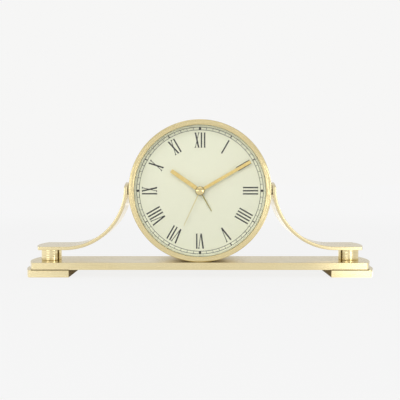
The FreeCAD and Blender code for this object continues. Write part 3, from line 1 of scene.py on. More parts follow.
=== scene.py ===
"""Looks of a brass tambour mantel clock, dressed over its construction model.

Lengths in the classes below are in millimetres. X runs to the right, Y to the back and Z up, from the
point on the shelf under the middle of the clock.
"""

import json
import logging
import math
from dataclasses import dataclass
from enum import Enum
from typing import Any, Callable, Iterable, Sequence

import bmesh
import bpy
import numpy as np
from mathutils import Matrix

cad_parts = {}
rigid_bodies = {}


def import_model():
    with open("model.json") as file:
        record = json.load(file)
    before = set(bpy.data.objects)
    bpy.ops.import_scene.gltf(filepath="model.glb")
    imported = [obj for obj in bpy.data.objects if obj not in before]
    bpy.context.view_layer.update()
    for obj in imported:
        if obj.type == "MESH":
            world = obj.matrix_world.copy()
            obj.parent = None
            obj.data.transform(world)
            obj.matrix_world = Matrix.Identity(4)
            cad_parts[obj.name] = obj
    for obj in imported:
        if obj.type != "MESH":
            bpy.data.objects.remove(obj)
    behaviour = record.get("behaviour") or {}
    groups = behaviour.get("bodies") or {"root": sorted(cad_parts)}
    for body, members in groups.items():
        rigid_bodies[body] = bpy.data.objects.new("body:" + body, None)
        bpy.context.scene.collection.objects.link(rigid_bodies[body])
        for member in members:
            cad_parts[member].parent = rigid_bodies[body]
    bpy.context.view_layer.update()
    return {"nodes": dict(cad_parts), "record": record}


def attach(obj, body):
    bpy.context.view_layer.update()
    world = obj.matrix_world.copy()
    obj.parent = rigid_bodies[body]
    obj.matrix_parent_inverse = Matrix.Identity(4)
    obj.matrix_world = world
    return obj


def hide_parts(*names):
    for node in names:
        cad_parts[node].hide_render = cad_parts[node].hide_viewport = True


for starting in list(bpy.data.objects):
    bpy.data.objects.remove(starting)
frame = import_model()

MM = 0.001
AXIS_HEIGHT = 76.9
LOG = logging.getLogger("tambour_clock")

SIDES = (("right", 1.0), ("left", -1.0))

Colour = tuple[float, float, float]
Place = tuple[float, float, float]
Span = tuple[float, float, float]
Pair = tuple[float, float]
Mesh = tuple[np.ndarray, list[list[int]]]
Axes = tuple["Signal", "Signal", "Signal"]


# Shader arithmetic


def both_ways(operation: str) -> tuple[Callable[..., "Signal"], Callable[..., "Signal"]]:
    """Make an operator and its reflected form.

    Args:
        operation: the Math node's operation.

    Returns:
        A method for a signal on the left of the operator, and one for a signal on its right.
    """
    def forward(self: "Signal", other: Any) -> "Signal":
        """The operation on self, then other."""
        return self.math(operation, self, other)

    def reflected(self: "Signal", other: Any) -> "Signal":
        """The operation on other, then self."""
        return self.math(operation, other, self)

    return forward, reflected


class Signal:
    """An output socket that adds a Math node for each arithmetic operator used on it."""

    __add__, __radd__ = both_ways("ADD")
    __sub__, __rsub__ = both_ways("SUBTRACT")
    __mul__, __rmul__ = both_ways("MULTIPLY")
    __truediv__, __rtruediv__ = both_ways("DIVIDE")
    __pow__, __rpow__ = both_ways("POWER")

    def __init__(self, shading: "Shading", socket: bpy.types.NodeSocket) -> None:
        """Wrap a socket of the tree that shading builds."""
        self.shading = shading
        self.socket = socket

    def math(self, operation: str, *values: Any) -> "Signal":
        """Add one Math node, with signals or numbers for its inputs in order."""
        return self.shading.node("ShaderNodeMath", {"operation": operation}, dict(enumerate(values)))

    def __abs__(self) -> "Signal":
        """abs(self)."""
        return self.math("ABSOLUTE", self)

    def __gt__(self, other: Any) -> "Signal":
        """1 where self > other, else 0."""
        return self.math("GREATER_THAN", self, other)

    def __lt__(self, other: Any) -> "Signal":
        """1 where self < other, else 0."""
        return self.math("LESS_THAN", self, other)

    def sine(self) -> "Signal":
        """Sine of a signal in radians."""
        return self.math("SINE", self)


class Shading:
    """Builds one node tree."""

    def __init__(self, tree: bpy.types.NodeTree) -> None:
        """Start from an empty tree."""
        self.tree = tree
        tree.nodes.clear()

    def node(self, kind: str, settings: dict[str, Any] | None = None, sockets: dict[Any, Any] | None = None,
             output: int | str = 0) -> Signal:
        """Add any node.

        Args:
            kind: the node's type.
            settings: its properties, which are set first.
            sockets: values or signals for the input sockets, by name or number.
            output: the output socket to return.

        Returns:
            The chosen output.
        """
        made = self.tree.nodes.new(kind)
        for name, value in (settings or {}).items():
            setattr(made, name, value)
        for name, value in (sockets or {}).items():
            if isinstance(value, Signal):
                self.tree.links.new(value.socket, made.inputs[name])
            else:
                made.inputs[name].default_value = value
        return Signal(self, made.outputs[output])

    def place(self) -> Axes:
        """X, Y and Z of the surface point in the clock's own frame, in metres."""
        return self.split(self.node("ShaderNodeTexCoord", output="Object"))

    def spot(self) -> Signal:
        """The surface point in the clock's own frame, as one vector."""
        return self.vector(*self.place())

    def split(self, vector: Signal) -> Axes:
        """Take a vector apart.

        Args:
            vector: the vector.

        Returns:
            Its three numbers.
        """
        apart = self.node("ShaderNodeSeparateXYZ", None, {0: vector})
        outputs = apart.socket.node.outputs
        return Signal(self, outputs[0]), Signal(self, outputs[1]), Signal(self, outputs[2])

    def vector(self, x: Any, y: Any, z: Any) -> Signal:
        """A vector of three numbers."""
        return self.node("ShaderNodeCombineXYZ", None, {0: x, 1: y, 2: z})

    def noise(self, vector: Signal, scale: float, detail: float = 2.0, roughness: float = 0.5) -> Signal:
        """Smooth noise between 0 and 1."""
        return self.node("ShaderNodeTexNoise", None, {
            "Vector": vector, "Scale": scale, "Detail": detail, "Roughness": roughness})

    def mix(self, factor: Any, first: Any, second: Any) -> Signal:
        """Blend two colours."""
        first, second = (value if isinstance(value, Signal) else (*value, 1.0) for value in (first, second))
        return self.node("ShaderNodeMix", {"data_type": "RGBA"}, {0: factor, 6: first, 7: second}, output=2)

    def between(self, value: Signal, low: float, high: float) -> Signal:
        """Smooth rise from 0 at low to 1 at high."""
        return self.node("ShaderNodeMapRange", {"interpolation_type": "SMOOTHSTEP"},
                         {"Value": value, "From Min": low, "From Max": high})

    def bump(self, height: Signal, depth: float) -> Signal:
        """A normal bent by a height map; depth is in millimetres."""
        return self.node("ShaderNodeBump", None, {"Height": height, "Distance": depth * MM, "Strength": 1.0})

    def tilted(self, x: Any, y: Any, z: Any) -> Signal:
        """Tilt the surface's own normal: a small vector is added to it, and the sum is made one long.

        Args:
            x, y, z: the vector.

        Returns:
            The tilted normal.
        """
        own = self.node("ShaderNodeNewGeometry", output="Normal")
        moved = self.node("ShaderNodeVectorMath", {"operation": "ADD"}, {0: own, 1: self.vector(x, y, z)})
        return self.node("ShaderNodeVectorMath", {"operation": "NORMALIZE"}, {0: moved})

    def surface(self, **sockets: Any) -> Signal:
        """Add a Principled shader.

        Args:
            sockets: values or signals by the sockets' names, with underscores for spaces.

        Returns:
            The shader.
        """
        named = {name.replace("_", " "): value for name, value in sockets.items()}
        if not isinstance(named["Base Color"], Signal):
            named["Base Color"] = (*named["Base Color"], 1.0)
        return self.node("ShaderNodeBsdfPrincipled", None, named)

    def finish(self, shader: Signal, output: str = "ShaderNodeOutputMaterial") -> None:
        """Send a shader to the tree's output."""
        target = self.tree.nodes.new(output)
        self.tree.links.new(shader.socket, target.inputs["Surface"])


# Finishes


def lighter(colour: Colour, factor: float, lift: float = 0.0) -> Colour:
    """A colour with each part multiplied and then raised, up to 1 at most."""
    red, green, blue = (min(1.0, part * factor + lift) for part in colour)
    return red, green, blue


@dataclass(frozen=True)
class Finish:
    """A surface finish that can be put on any piece."""

    title: str

    def paint(self, shading: Shading) -> Signal:
        """Build the shader in a tree; each kind of finish has its own way."""
        raise NotImplementedError

    def material(self) -> bpy.types.Material:
        """Make the finish's material at its first use.

        Returns:
            The material.
        """
        made = bpy.data.materials.get(self.title)
        if made is None:
            made = bpy.data.materials.new(self.title)
            made.use_nodes = True
            shading = Shading(made.node_tree)
            shading.finish(self.paint(shading))
        return made


class Grain(Enum):
    """Which way the brush went over a brass piece."""

    ALONG_BAR = "along the bar"
    ROUND_DRUM = "round the drum"
    ALONG_STRAP = "along the strap"
    TURNED = "turned about an upright axis"
    POLISHED = "polished"


LINE_SCALES: dict[Grain, Pair] = {
    Grain.ALONG_BAR: (14.0, 4.0), Grain.ROUND_DRUM: (3.0, 1.2), Grain.ALONG_STRAP: (14.0, 4.0),
    Grain.TURNED: (8.0, 6.0), Grain.POLISHED: (300.0, 60.0),
}
"""How fast the fine and the broad noise run along each grain."""


@dataclass(frozen=True)
class BrushedBrass(Finish):
    """Pale lacquered brass with fine brush lines, faint tarnish clouds and handling marks."""

    grain: Grain = Grain.ALONG_BAR
    colour: Colour = (0.88, 0.765, 0.47)
    shade: Colour = (0.85, 0.715, 0.41)
    roughness: float = 0.2
    spread: float = 0.2
    coarse: float = 420.0
    # Painted shade: the dark colour put on the places where shade falls.
    painted_shade_colour: Colour = (0.15, 0.10, 0.03)
    fine: float = 2600.0
    cloud_scale: float = 24.0
    cloud_roughness: float = 0.12
    line_roughness: float = 0.08
    # Roughness of the places with painted shade.
    painted_shade_roughness: float = 0.9

    def painted_shade(self, shading: Shading, place: Axes) -> Signal | None:
        """Where painted shade darkens and dulls the brass, from 0 to 1; nowhere on a plain piece."""
        return None

    def lines(self, shading: Shading, place: Axes) -> tuple[Signal, Signal, tuple[Any, Any, Any]]:
        """Draw space out along the grain.

        Args:
            shading: the tree to build in.
            place: the surface point.

        Returns:
            The points at which to read the fine and the broad noise, and each axis's share of the tilt
            across the grain.
        """
        x, y, z = place
        fine, coarse = self.fine, self.coarse
        slow, slower = LINE_SCALES[self.grain]
        if self.grain is Grain.ALONG_BAR:
            return (shading.vector(x * slow, y * fine, z * fine),
                    shading.vector(x * slower, y * coarse, z * coarse), (0.0, 1.0, 1.0))
        if self.grain is Grain.ROUND_DRUM:
            height = z - AXIS_HEIGHT * MM
            radius = (x * x + height * height) ** 0.5
            side, rise = x / radius, height / radius
            along = radius - y
            return (shading.vector(along * fine, side * slow, rise * slow),
                    shading.vector(along * coarse, side * slower, rise * slower), (side, 1.0, rise))
        if self.grain is Grain.ALONG_STRAP:
            length, width, _ = shading.split(shading.node("ShaderNodeTexCoord", output="UV"))
            return (shading.vector(length * slow, width * fine, 0.0),
                    shading.vector(length * slower, width * coarse, 0.0), (0.0, 1.0, 0.0))
        if self.grain is Grain.TURNED:
            return (shading.vector(x * slow, y * slow, z * fine),
                    shading.vector(x * slower, y * slower, z * coarse), (0.0, 0.0, 1.0))
        return (shading.vector(x * slow, y * slow, z * slow),
                shading.vector(x * slower, y * slower, z * slower), (1.0, 1.0, 1.0))

    def paint(self, shading: Shading) -> Signal:
        """Brush lines are noise drawn out along the grain; each line tilts the normal across the grain.

        Args:
            shading: the tree to build in.

        Returns:
            The shader.
        """
        place = shading.place()
        cloud = shading.noise(shading.vector(*place), self.cloud_scale, 3.0)
        thin, wide, across = self.lines(shading, place)
        fine = shading.noise(thin, 1.0, 2.0)
        broad = shading.noise(wide, 1.0, 2.0)
        mark = (fine - 0.5) * (2.0 * self.spread) + (broad - 0.5) * self.spread
        tone = shading.mix(shading.between(broad * 0.6 + cloud * 0.4, 0.35, 0.65), self.colour, self.shade)
        rough = self.roughness + (cloud - 0.5) * self.cloud_roughness + (fine - 0.5) * self.line_roughness
        tilt = [mark * part if isinstance(part, Signal) or part else 0.0 for part in across]
        normal = shading.tilted(*tilt)
        # Painted shade: where the mask rises, the brass is darkened to the shade colour and made matt and
        # less metallic.
        painted_shade = self.painted_shade(shading, place)
        if painted_shade is None:
            return shading.surface(Base_Color=tone, Metallic=1.0, Roughness=rough, Normal=normal)
        return shading.surface(Base_Color=shading.mix(painted_shade, tone, self.painted_shade_colour), Metallic=1.0 - painted_shade,
                               Roughness=rough + painted_shade * (self.painted_shade_roughness - rough), Normal=normal)


@dataclass(frozen=True)
class BaseBrass(BrushedBrass):
    """Brass of the bar and feet, with painted shade in their joint, on the feet's inner ends and beside the
    drum.
    """

    # Levels and reaches of the painted shade, in millimetres.
    joint_low: float = 6.4
    joint_high: float = 7.45
    joint_end: float = 149.6
    cut_end: float = 116.35
    top_level: float = 13.3
    seat_reach: float = 52.0
    seat_share: float = 0.4
    soft_edge: float = 0.1

    def painted_shade(self, shading: Shading, place: Axes) -> Signal:
        """Painted shade between the joint's levels out to the bar's end, on the feet's inner ends and by the
        drum.

        Each is a product of smooth rises and falls, and together they cover every place that any of them
        shades.

        Args:
            shading: the tree to build in.
            place: the surface point.

        Returns:
            How strongly shade is painted on the brass, from 0 to 1.
        """
        x, _, z = place
        far = abs(x)
        soft = self.soft_edge

        def rising(value: Signal, low: float, high: float) -> Signal:
            """Smooth rise between two places in millimetres."""
            return shading.between(value, low * MM, high * MM)

        # Painted shade in the joint between bar and foot, where shadow falls.
        over = rising(z, self.joint_low, self.joint_low + soft)
        under = 1.0 - rising(z, self.joint_high - soft, self.joint_high)
        outer = 1.0 - rising(far, self.joint_end, self.joint_end + 3 * soft)
        inner = rising(far, self.cut_end - 3 * soft, self.cut_end - 2 * soft)
        # Painted shade on the feet's inner ends: a dark reflection of the shaded floor under the bar.
        cut = (1.0 - rising(far, self.cut_end, self.cut_end + soft)) * (z < self.joint_low * MM)
        # Painted shade on the bar's top beside the drum, standing in for its reflection and contact shadow.
        seat = (1.0 - rising(far, 0.0, self.seat_reach)) * (z > self.top_level * MM) * self.seat_share
        return 1.0 - (1.0 - over * under * outer * inner) * (1.0 - cut) * (1.0 - seat)


@dataclass(frozen=True)
class Plated(Finish):
    """Smooth plated or gilt metal with faint rolling marks."""

    colour: Colour = (0.62, 0.62, 0.63)
    shade: Colour = (0.5, 0.5, 0.51)
    roughness: float = 0.3
    scale: float = 240.0
    metallic: float = 1.0

    def paint(self, shading: Shading) -> Signal:
        """Two sizes of noise mix the plating's tone and roughness, and a shallow bump breaks its gleam.

        Args:
            shading: the tree to build in.

        Returns:
            The shader.
        """
        spot = shading.spot()
        fine = shading.noise(spot, self.scale * 6.0, 3.0)
        cloud = shading.noise(spot, self.scale, 2.0)
        tone = shading.mix(shading.between(cloud, 0.3, 0.7), self.colour, self.shade)
        rough = self.roughness + (fine - 0.5) * 0.2
        return shading.surface(Base_Color=tone, Metallic=self.metallic, Roughness=rough,
                               Normal=shading.bump(fine, 0.01))


@dataclass(frozen=True)
class RingEnamel(Finish):
    """Satin cream enamel of the ring inside the bezel, with painted olive shade towards its front edge."""

    colour: Colour = (0.92, 0.92, 0.74)
    # Olive colour of the painted shade under the bezel's lip, and the depths over which it rises.
    painted_olive_shade: Colour = (0.40, 0.36, 0.19)
    painted_olive_shade_from: float = -17.6
    painted_olive_shade_to: float = -19.2
    wander: float = 0.6

    def paint(self, shading: Shading) -> Signal:
        """Depth places the painted shade at the front edge, and noise moves and mottles it.

        Args:
            shading: the tree to build in.

        Returns:
            The shader.
        """
        x, y, z = shading.place()
        spot = shading.vector(x, y, z)
        fine = shading.noise(spot, 1800.0, 3.0)
        slow = shading.noise(spot, 90.0, 2.0)
        # Painted shade: the ring darkens to olive towards its front edge, where the bezel's lip shades it.
        edge = shading.between(y * -1.0 + (slow - 0.5) * self.wander * MM, -self.painted_olive_shade_from * MM,
                               -self.painted_olive_shade_to * MM)
        tone = shading.mix(edge * 0.9 + (fine - 0.5) * 0.1, self.colour, self.painted_olive_shade)
        return shading.surface(Base_Color=tone, Metallic=edge * 0.5, Roughness=0.42 + (fine - 0.5) * 0.16,
                               Normal=shading.bump(fine, 0.006))


@dataclass(frozen=True)
class DialPaint(Finish):
    """Satin cream dial paint with a very fine grain."""

    colour: Colour = (0.800, 0.810, 0.640)
    roughness: float = 0.45
    grain: float = 5200.0
    grain_depth: float = 0.006

    def paint(self, shading: Shading) -> Signal:
        """Fine grain in the bump, and a faint slow change of tone.

        Args:
            shading: the tree to build in.

        Returns:
            The shader.
        """
        spot = shading.spot()
        grain = shading.noise(spot, self.grain, 2.0)
        slow = shading.noise(spot, 30.0, 2.0)
        tone = shading.mix(slow, self.colour, lighter(self.colour, 1.02))
        return shading.surface(Base_Color=tone, Roughness=self.roughness + (grain - 0.5) * 0.2,
                               Normal=shading.bump(grain, self.grain_depth))


@dataclass(frozen=True)
class PrintInk(Finish):
    """Nearly black printing ink, slightly broken."""

    colour: Colour = (0.006, 0.006, 0.004)
    roughness: float = 0.5
    scale: float = 2600.0

    def paint(self, shading: Shading) -> Signal:
        """Ink whose density changes a little over the print.

        Args:
            shading: the tree to build in.

        Returns:
            The shader.
        """
        spot = shading.spot()
        break_up = shading.noise(spot, self.scale, 2.0)
        tone = shading.mix(break_up, self.colour, lighter(self.colour, 1.8))
        return shading.surface(Base_Color=tone, Roughness=self.roughness + (break_up - 0.5) * 0.2)


@dataclass(frozen=True)
class Moulding(Finish):
    """Moulded plastic with a spark-eroded texture."""

    colour: Colour = (0.03, 0.03, 0.032)
    roughness: float = 0.42
    grain_depth: float = 0.02
    scale: float = 1800.0

    def paint(self, shading: Shading) -> Signal:
        """Pebbled bump, flow marks in the tone and dust-like change of roughness.

        Args:
            shading: the tree to build in.

        Returns:
            The shader.
        """
        x, y, z = shading.place()
        spot = shading.vector(x, y, z)
        pebble = shading.noise(spot, self.scale, 3.0, 0.6)
        flow = shading.noise(shading.vector(x * 40.0, y * 40.0, z * 160.0), 1.0, 2.0)
        tone = shading.mix(flow * 0.7 + pebble * 0.3, self.colour, lighter(self.colour, 1.25, 0.006))
        return shading.surface(Base_Color=tone, Roughness=self.roughness + (flow - 0.5) * 0.16,
                               Normal=shading.bump(pebble, self.grain_depth))


@dataclass(frozen=True)
class Felt(Finish):
    """Pressed dark felt."""

    colour: Colour = (0.03, 0.03, 0.03)
    along: float = 500.0
    across: float = 2200.0
    level: float = 1500.0
    fibre_depth: float = 0.12

    def paint(self, shading: Shading) -> Signal:
        """Tangled fibres: the mean of two noises stretched across each other.

        Args:
            shading: the tree to build in.

        Returns:
            The shader.
        """
        x, y, z = shading.place()
        one = shading.noise(shading.vector(x * self.across, y * self.along, z * self.level), 1.0, 3.0)
        two = shading.noise(shading.vector(x * self.along, y * self.across, z * self.level), 1.0, 3.0)
        fibre = (one + two) * 0.5
        tone = shading.mix(shading.between(fibre, 0.4, 0.65), self.colour, lighter(self.colour, 2.6))
        return shading.surface(Base_Color=tone, Roughness=0.95, Sheen_Weight=0.35, Sheen_Roughness=0.5,
                               Normal=shading.bump(fibre, self.fibre_depth))


@dataclass(frozen=True)
class ClearGlass(Finish):
    """Thin clear glass that mirrors as its Fresnel law says and lets the rest through."""

    index: float = 1.35
    mirror_share: float = 0.9
    haze: float = 0.004

    def paint(self, shading: Shading) -> Signal:
        """A white mirror whose opacity is the Fresnel reflection.

        Args:
            shading: the tree to build in.

        Returns:
            The shader.
        """
        spot = shading.spot()
        smear = shading.noise(spot, 60.0, 3.0)
        mirror = shading.node("ShaderNodeFresnel", None, {"IOR": self.index})
        return shading.surface(Base_Color=(1.0, 1.0, 1.0), Metallic=1.0, Roughness=0.03 + smear * 0.05,
                               Alpha=mirror * self.mirror_share + self.haze)


@dataclass(frozen=True)
class Windings(Finish):
    """Enamelled copper wire wound in close turns round an axis along X."""

    pitch: float = 0.16

    def paint(self, shading: Shading) -> Signal:
        """Turns are a sine along X, lit by a bump.

        Args:
            shading: the tree to build in.

        Returns:
            The shader.
        """
        x, y, z = shading.place()
        turn = (x * (math.tau / (self.pitch * MM))).sine() * 0.5 + 0.5
        drift = shading.noise(shading.vector(x, y, z), 900.0, 2.0)
        tone = shading.mix(turn * 0.6 + drift * 0.4, (0.30, 0.09, 0.035), (0.62, 0.24, 0.10))
        return shading.surface(Base_Color=tone, Metallic=0.9, Roughness=0.35 + (drift - 0.5) * 0.2,
                               Normal=shading.bump(turn, 0.05))


@dataclass(frozen=True)
class Laminate(Finish):
    """Circuit board: green lacquer over copper tracks on glass cloth."""

    weave: float = 9000.0
    lane_pitch: float = 1.3

    def paint(self, shading: Shading) -> Signal:
        """Tracks are bands of a grid that noise switches on, and the cloth is a fine crossed sine.

        Args:
            shading: the tree to build in.

        Returns:
            The shader.
        """
        x, _, z = shading.place()
        weave = (x * self.weave).sine() * (z * self.weave).sine()
        switch = shading.noise(shading.vector(x * 120.0, 0.0, z * 760.0), 1.0, 1.0)
        lanes = ((z * (math.tau / (self.lane_pitch * MM))).sine() > 0.55) * (switch > 0.5)
        tone = shading.mix(lanes, (0.01, 0.10, 0.035), (0.05, 0.26, 0.09))
        return shading.surface(Base_Color=tone, Roughness=0.35 + weave * 0.05,
                               Normal=shading.bump(lanes * 0.8 + weave * 0.1, 0.04))


@dataclass(frozen=True)
class CellSleeve(Finish):
    """Dry cell: a two-colour plastic sleeve over a steel can with bright ends."""

    shift: float = 0.65
    end: float = 23.6
    band: float = 14.5
    band_edge: float = 0.12

    def paint(self, shading: Shading) -> Signal:
        """X places the bright ends, the copper-coloured shoulder and the dark sleeve.

        Args:
            shading: the tree to build in.

        Returns:
            The shader.
        """
        x, y, z = shading.place()
        metal = abs(x + self.shift * MM) > self.end * MM
        shoulder = shading.between(x, self.band * MM, (self.band + self.band_edge) * MM)
        fine = shading.noise(shading.vector(x * 90.0, y * 900.0, z * 900.0), 1.0, 2.0)
        sleeve = shading.mix(shoulder, (0.020, 0.021, 0.024), (0.55, 0.27, 0.09))
        tone = shading.mix(metal, sleeve, (0.70, 0.69, 0.66))
        return shading.surface(Base_Color=tone, Metallic=metal * 0.75 + shoulder * 0.25,
                               Roughness=0.24 + fine * 0.12, Normal=shading.bump(fine, 0.015))


BAR_BRASS = BaseBrass("bar_brass", Grain.ALONG_BAR)
DRUM_BRASS = BrushedBrass("drum_brass", Grain.ROUND_DRUM)
STRAP_BRASS = BrushedBrass("strap_brass", Grain.ALONG_STRAP, roughness=0.16, spread=0.1)
BEZEL_BRASS = BrushedBrass("bezel_brass", Grain.ROUND_DRUM, (0.86, 0.735, 0.42), (0.82, 0.685, 0.37),
                           roughness=0.24, spread=0.55, coarse=1500.0)
MIRROR_BRASS = BrushedBrass("mirror_brass", Grain.POLISHED, roughness=0.09, spread=0.015)
POST_BRASS = BrushedBrass("post_brass", Grain.TURNED, roughness=0.08, spread=0.3, coarse=1400.0)
CAP_BRASS = BrushedBrass("cap_brass", Grain.POLISHED, (0.82, 0.68, 0.34), (0.76, 0.61, 0.28),
                         roughness=0.12, spread=0.01)
RING_ENAMEL = RingEnamel("ring_enamel")
GILT = Plated("gilt", (0.90, 0.70, 0.27), (0.85, 0.63, 0.21), 0.3, 400.0)
PALE_GILT = Plated("pale_gilt", (0.80, 0.70, 0.34), (0.72, 0.62, 0.27), 0.3, 400.0)
OLIVE_GILT = Plated("olive_gilt", (0.46, 0.40, 0.14), (0.37, 0.32, 0.10), 0.35, 400.0, 0.8)
ZINC = Plated("zinc", (0.62, 0.62, 0.63), (0.50, 0.50, 0.52), 0.32, 240.0)
CAN = Plated("drawn_can", (0.72, 0.72, 0.70), (0.62, 0.62, 0.62), 0.22, 300.0)
CASE = Moulding("case_moulding")
WHEEL = Moulding("wheel_moulding", (0.76, 0.75, 0.70), 0.38, 0.006, 2600.0)
SWITCH = Moulding("switch_moulding", (0.52, 0.03, 0.02), 0.28, 0.006, 2600.0)
RUBBER = Moulding("gasket_rubber", (0.022, 0.022, 0.022), 0.75, 0.03, 1400.0)
SLOT_FINISHES: dict[str, Finish] = {
    "brass": BAR_BRASS, "polished_brass": MIRROR_BRASS, "felt": Felt("pressed_felt"), "steel": ZINC,
    "glass": ClearGlass("clear_glass"), "dial": DialPaint("dial_paint"), "black_plastic": CASE,
    "rubber": RUBBER, "wheel_plastic": WHEEL, "copper": Windings("copper_windings"),
    "board": Laminate("board_laminate"), "crystal_can": CAN, "cell": CellSleeve("cell_sleeve"),
    "switch": SWITCH, "gold_hand": GILT, "pale_hand": OLIVE_GILT,
}
INK = PrintInk("print_ink")


# Surfaces


SIDE_SHARE = 0.49
"""Greatest share of a side that an arc at its end may take."""
GUARD_SHARE = 0.3
"""Greatest share of what the arc leaves of a side that lies before its guard point."""
LEAST_GUARD = 0.002
"""Guard points nearer than this to their arc are left out."""
END_GUARD = 1.6
"""Distance of the guard ring from a strip's end, in roundings."""
FLAT_SHARES = np.array([0.985, 0.85, 0.7, 0.5, 0.25, 0.0, -0.25, -0.5, -0.7, -0.85, -0.985])
"""Where points stand across a strip's flat face, in half widths; they crowd at its edges."""
WELD = 2e-7
"""Points nearer than this are one, in metres."""


@dataclass
class Patch:
    """A grid of points, (rows, columns, 3) in millimetres, and its map coordinates in metres."""

    points: np.ndarray
    chart: np.ndarray | None = None


def rounded(corners: Sequence[tuple[float, float, float]], steps: int = 6, guard: float = 0.15,
            closed: bool = True) -> np.ndarray:
    """Round the corners of a flat line.

    Each corner becomes an arc that touches both of its sides, with a guard point beyond each end of the
    arc so that the flats stay flat when the surface is shaded smooth.

    Args:
        corners: (a, b, radius) of each corner in order.
        steps: points along each arc.
        guard: distance of the guard points from the arc.
        closed: whether the last corner joins the first.

    Returns:
        The points of the line; a closed line ends on its first point.
    """
    places = np.array([corner[:2] for corner in corners], float)
    found: list[np.ndarray] = []
    count = len(corners)
    for index, (_, _, radius) in enumerate(corners):
        here = places[index]
        if not closed and index in (0, count - 1):
            found.append(here[None])
            continue
        into = here - places[index - 1]
        out = places[(index + 1) % count] - here
        reach_in, reach_out = np.linalg.norm(into), np.linalg.norm(out)
        into, out = into / reach_in, out / reach_out
        turn = math.acos(float(np.clip(into @ out, -1, 1)))
        if radius <= 0 or turn < 1e-4:
            found.append(here[None])
            continue
        tangent = min(radius * math.tan(turn / 2), SIDE_SHARE * reach_in, SIDE_SHARE * reach_out)
        bend = tangent / math.tan(turn / 2)
        start = here - into * tangent
        inward = (out - into * (into @ out)) / math.sin(turn)
        sweep = np.linspace(0, turn, steps)[:, None]
        arc = start + bend * (np.sin(sweep) * into + (1 - np.cos(sweep)) * inward)
        spare = min(guard, GUARD_SHARE * (min(reach_in, reach_out) - tangent))
        if spare > LEAST_GUARD:
            arc = np.vstack([start - into * spare, arc, arc[-1] + out * spare])
        found.append(arc)
    line = np.vstack(found)
    return np.vstack([line, line[:1]]) if closed else line


def turned(profile: np.ndarray, steps: int, axis: str = "y", centre: Pair = (0.0, AXIS_HEIGHT)) -> Patch:
    """Carry a profile of (radius, level) once round an axis.

    Args:
        profile: the points of the profile.
        steps: divisions of the full turn.
        axis: "y" or "z".
        centre: where the axis stands, as (x, z) for y and (x, y) for z.

    Returns:
        The surface, with length round the axis and length along the profile as its map.
    """
    angle = np.linspace(0, math.tau, steps + 1)
    radius, level = profile[:, :1], profile[:, 1:2]
    first = centre[0] + radius * np.sin(angle)
    second = centre[1] + radius * np.cos(angle)
    level = np.broadcast_to(level, first.shape)
    order = (first, level, second) if axis == "y" else (first, second, level)
    along = np.concatenate([[0], np.cumsum(np.linalg.norm(np.diff(profile, axis=0), axis=1))])
    chart = np.stack(np.broadcast_arrays(angle * radius.max(), along[:, None]), -1) * MM
    return Patch(np.stack(order, -1), chart)


def strip_rings(stations: np.ndarray, half_width: np.ndarray | float, half_height: float, rounding: float,
                steps: int = 5) -> tuple[np.ndarray, np.ndarray, np.ndarray]:
    """Closed skin of a flat strip with rounded edges.

    Each ring is a rounded rectangle: a point of an arc stands at its side's sign times the half size less
    the rounding, plus the rounding times the cosine or sine of its angle. At both ends the rings shrink
    over a quarter circle, and a last ring of no height closes the end face.

    Args:
        stations: places along the strip, from its start to its end.
        half_width: half the width at the stations.
        half_height: half the thickness.
        rounding: radius of all the edges.
        steps: points over each quarter circle.

    Returns:
        Place along, across and up of each point, each (rings, points), with each ring ending on its start.
    """
    angle = np.linspace(0, math.pi / 2, steps)
    inset = np.append(rounding * (1 - np.sin(angle)), 0.0)
    lead = np.append(rounding * (1 - np.cos(angle)), rounding * END_GUARD)
    length = stations[-1]
    inner = stations[(stations > 2 * rounding) & (stations < length - 2 * rounding)]
    along = np.concatenate([[0.0], lead, inner, length - lead[::-1], [length]])
    cut = np.concatenate([[rounding], inset, np.zeros_like(inner), inset[::-1], [rounding]])
    height = half_height - cut
    height[[0, -1]] = 0.0
    width = np.interp(along, stations, np.broadcast_to(half_width, stations.shape)) - cut
    radius = (rounding - cut)[:, None]
    corner, level = np.ones(steps), np.ones(FLAT_SHARES.size)
    side = np.concatenate([corner, FLAT_SHARES, -corner, -corner, -FLAT_SHARES, corner])
    rise = np.concatenate([corner, level, corner, -corner, -level, -corner])
    turn = np.concatenate([angle, level * math.pi / 2, angle + math.pi / 2,
                           angle + math.pi, level * 1.5 * math.pi, angle + 1.5 * math.pi])
    loop = np.arange(turn.size + 1) % turn.size
    across = side * (width[:, None] - radius) + radius * np.cos(turn)
    up = np.where(height[:, None] > 0, rise * (height[:, None] - radius) + radius * np.sin(turn), 0.0)
    return np.broadcast_to(along[:, None], (along.size, loop.size)), across[:, loop], up[:, loop]


def slab(outline: np.ndarray, profile: np.ndarray) -> Patch:
    """Skin of a flat solid whose outline steps in and out with height.

    Each ring is the outline moved along its own normals: inwards by the profile's inset, at the profile's
    level. The first and last rings are drawn in to a line along the outline's middle, which closes the
    faces. It stops short of both ends by half the outline's greatest distance from it.

    Args:
        outline: closed line in plan, ending on its first point, anticlockwise.
        profile: (inset, level) from the bottom face's edge to the top face's edge.

    Returns:
        The closed surface.
    """
    loop = outline[:-1]
    run = np.roll(loop, -1, 0) - np.roll(loop, 1, 0)
    normal = np.stack([run[:, 1], -run[:, 0]], -1) / np.linalg.norm(run, axis=1, keepdims=True)
    inset, level = profile[:, 0], profile[:, 1]
    rings = loop[None] - normal[None] * inset[:, None, None]
    spine = rings[[0, -1]].copy()
    short = np.abs(loop[:, 1]).max() / 2
    spine[..., 0] = np.clip(spine[..., 0], loop[:, 0].min() + short, loop[:, 0].max() - short)
    spine[..., 1] = 0.0
    rings = np.concatenate([spine[:1], rings, spine[1:]])
    level = np.concatenate([level[:1], level, level[-1:]])
    stacked = np.concatenate([rings, np.broadcast_to(level[:, None, None], (*rings.shape[:2], 1))], -1)
    return Patch(np.concatenate([stacked, stacked[:, :1]], 1))


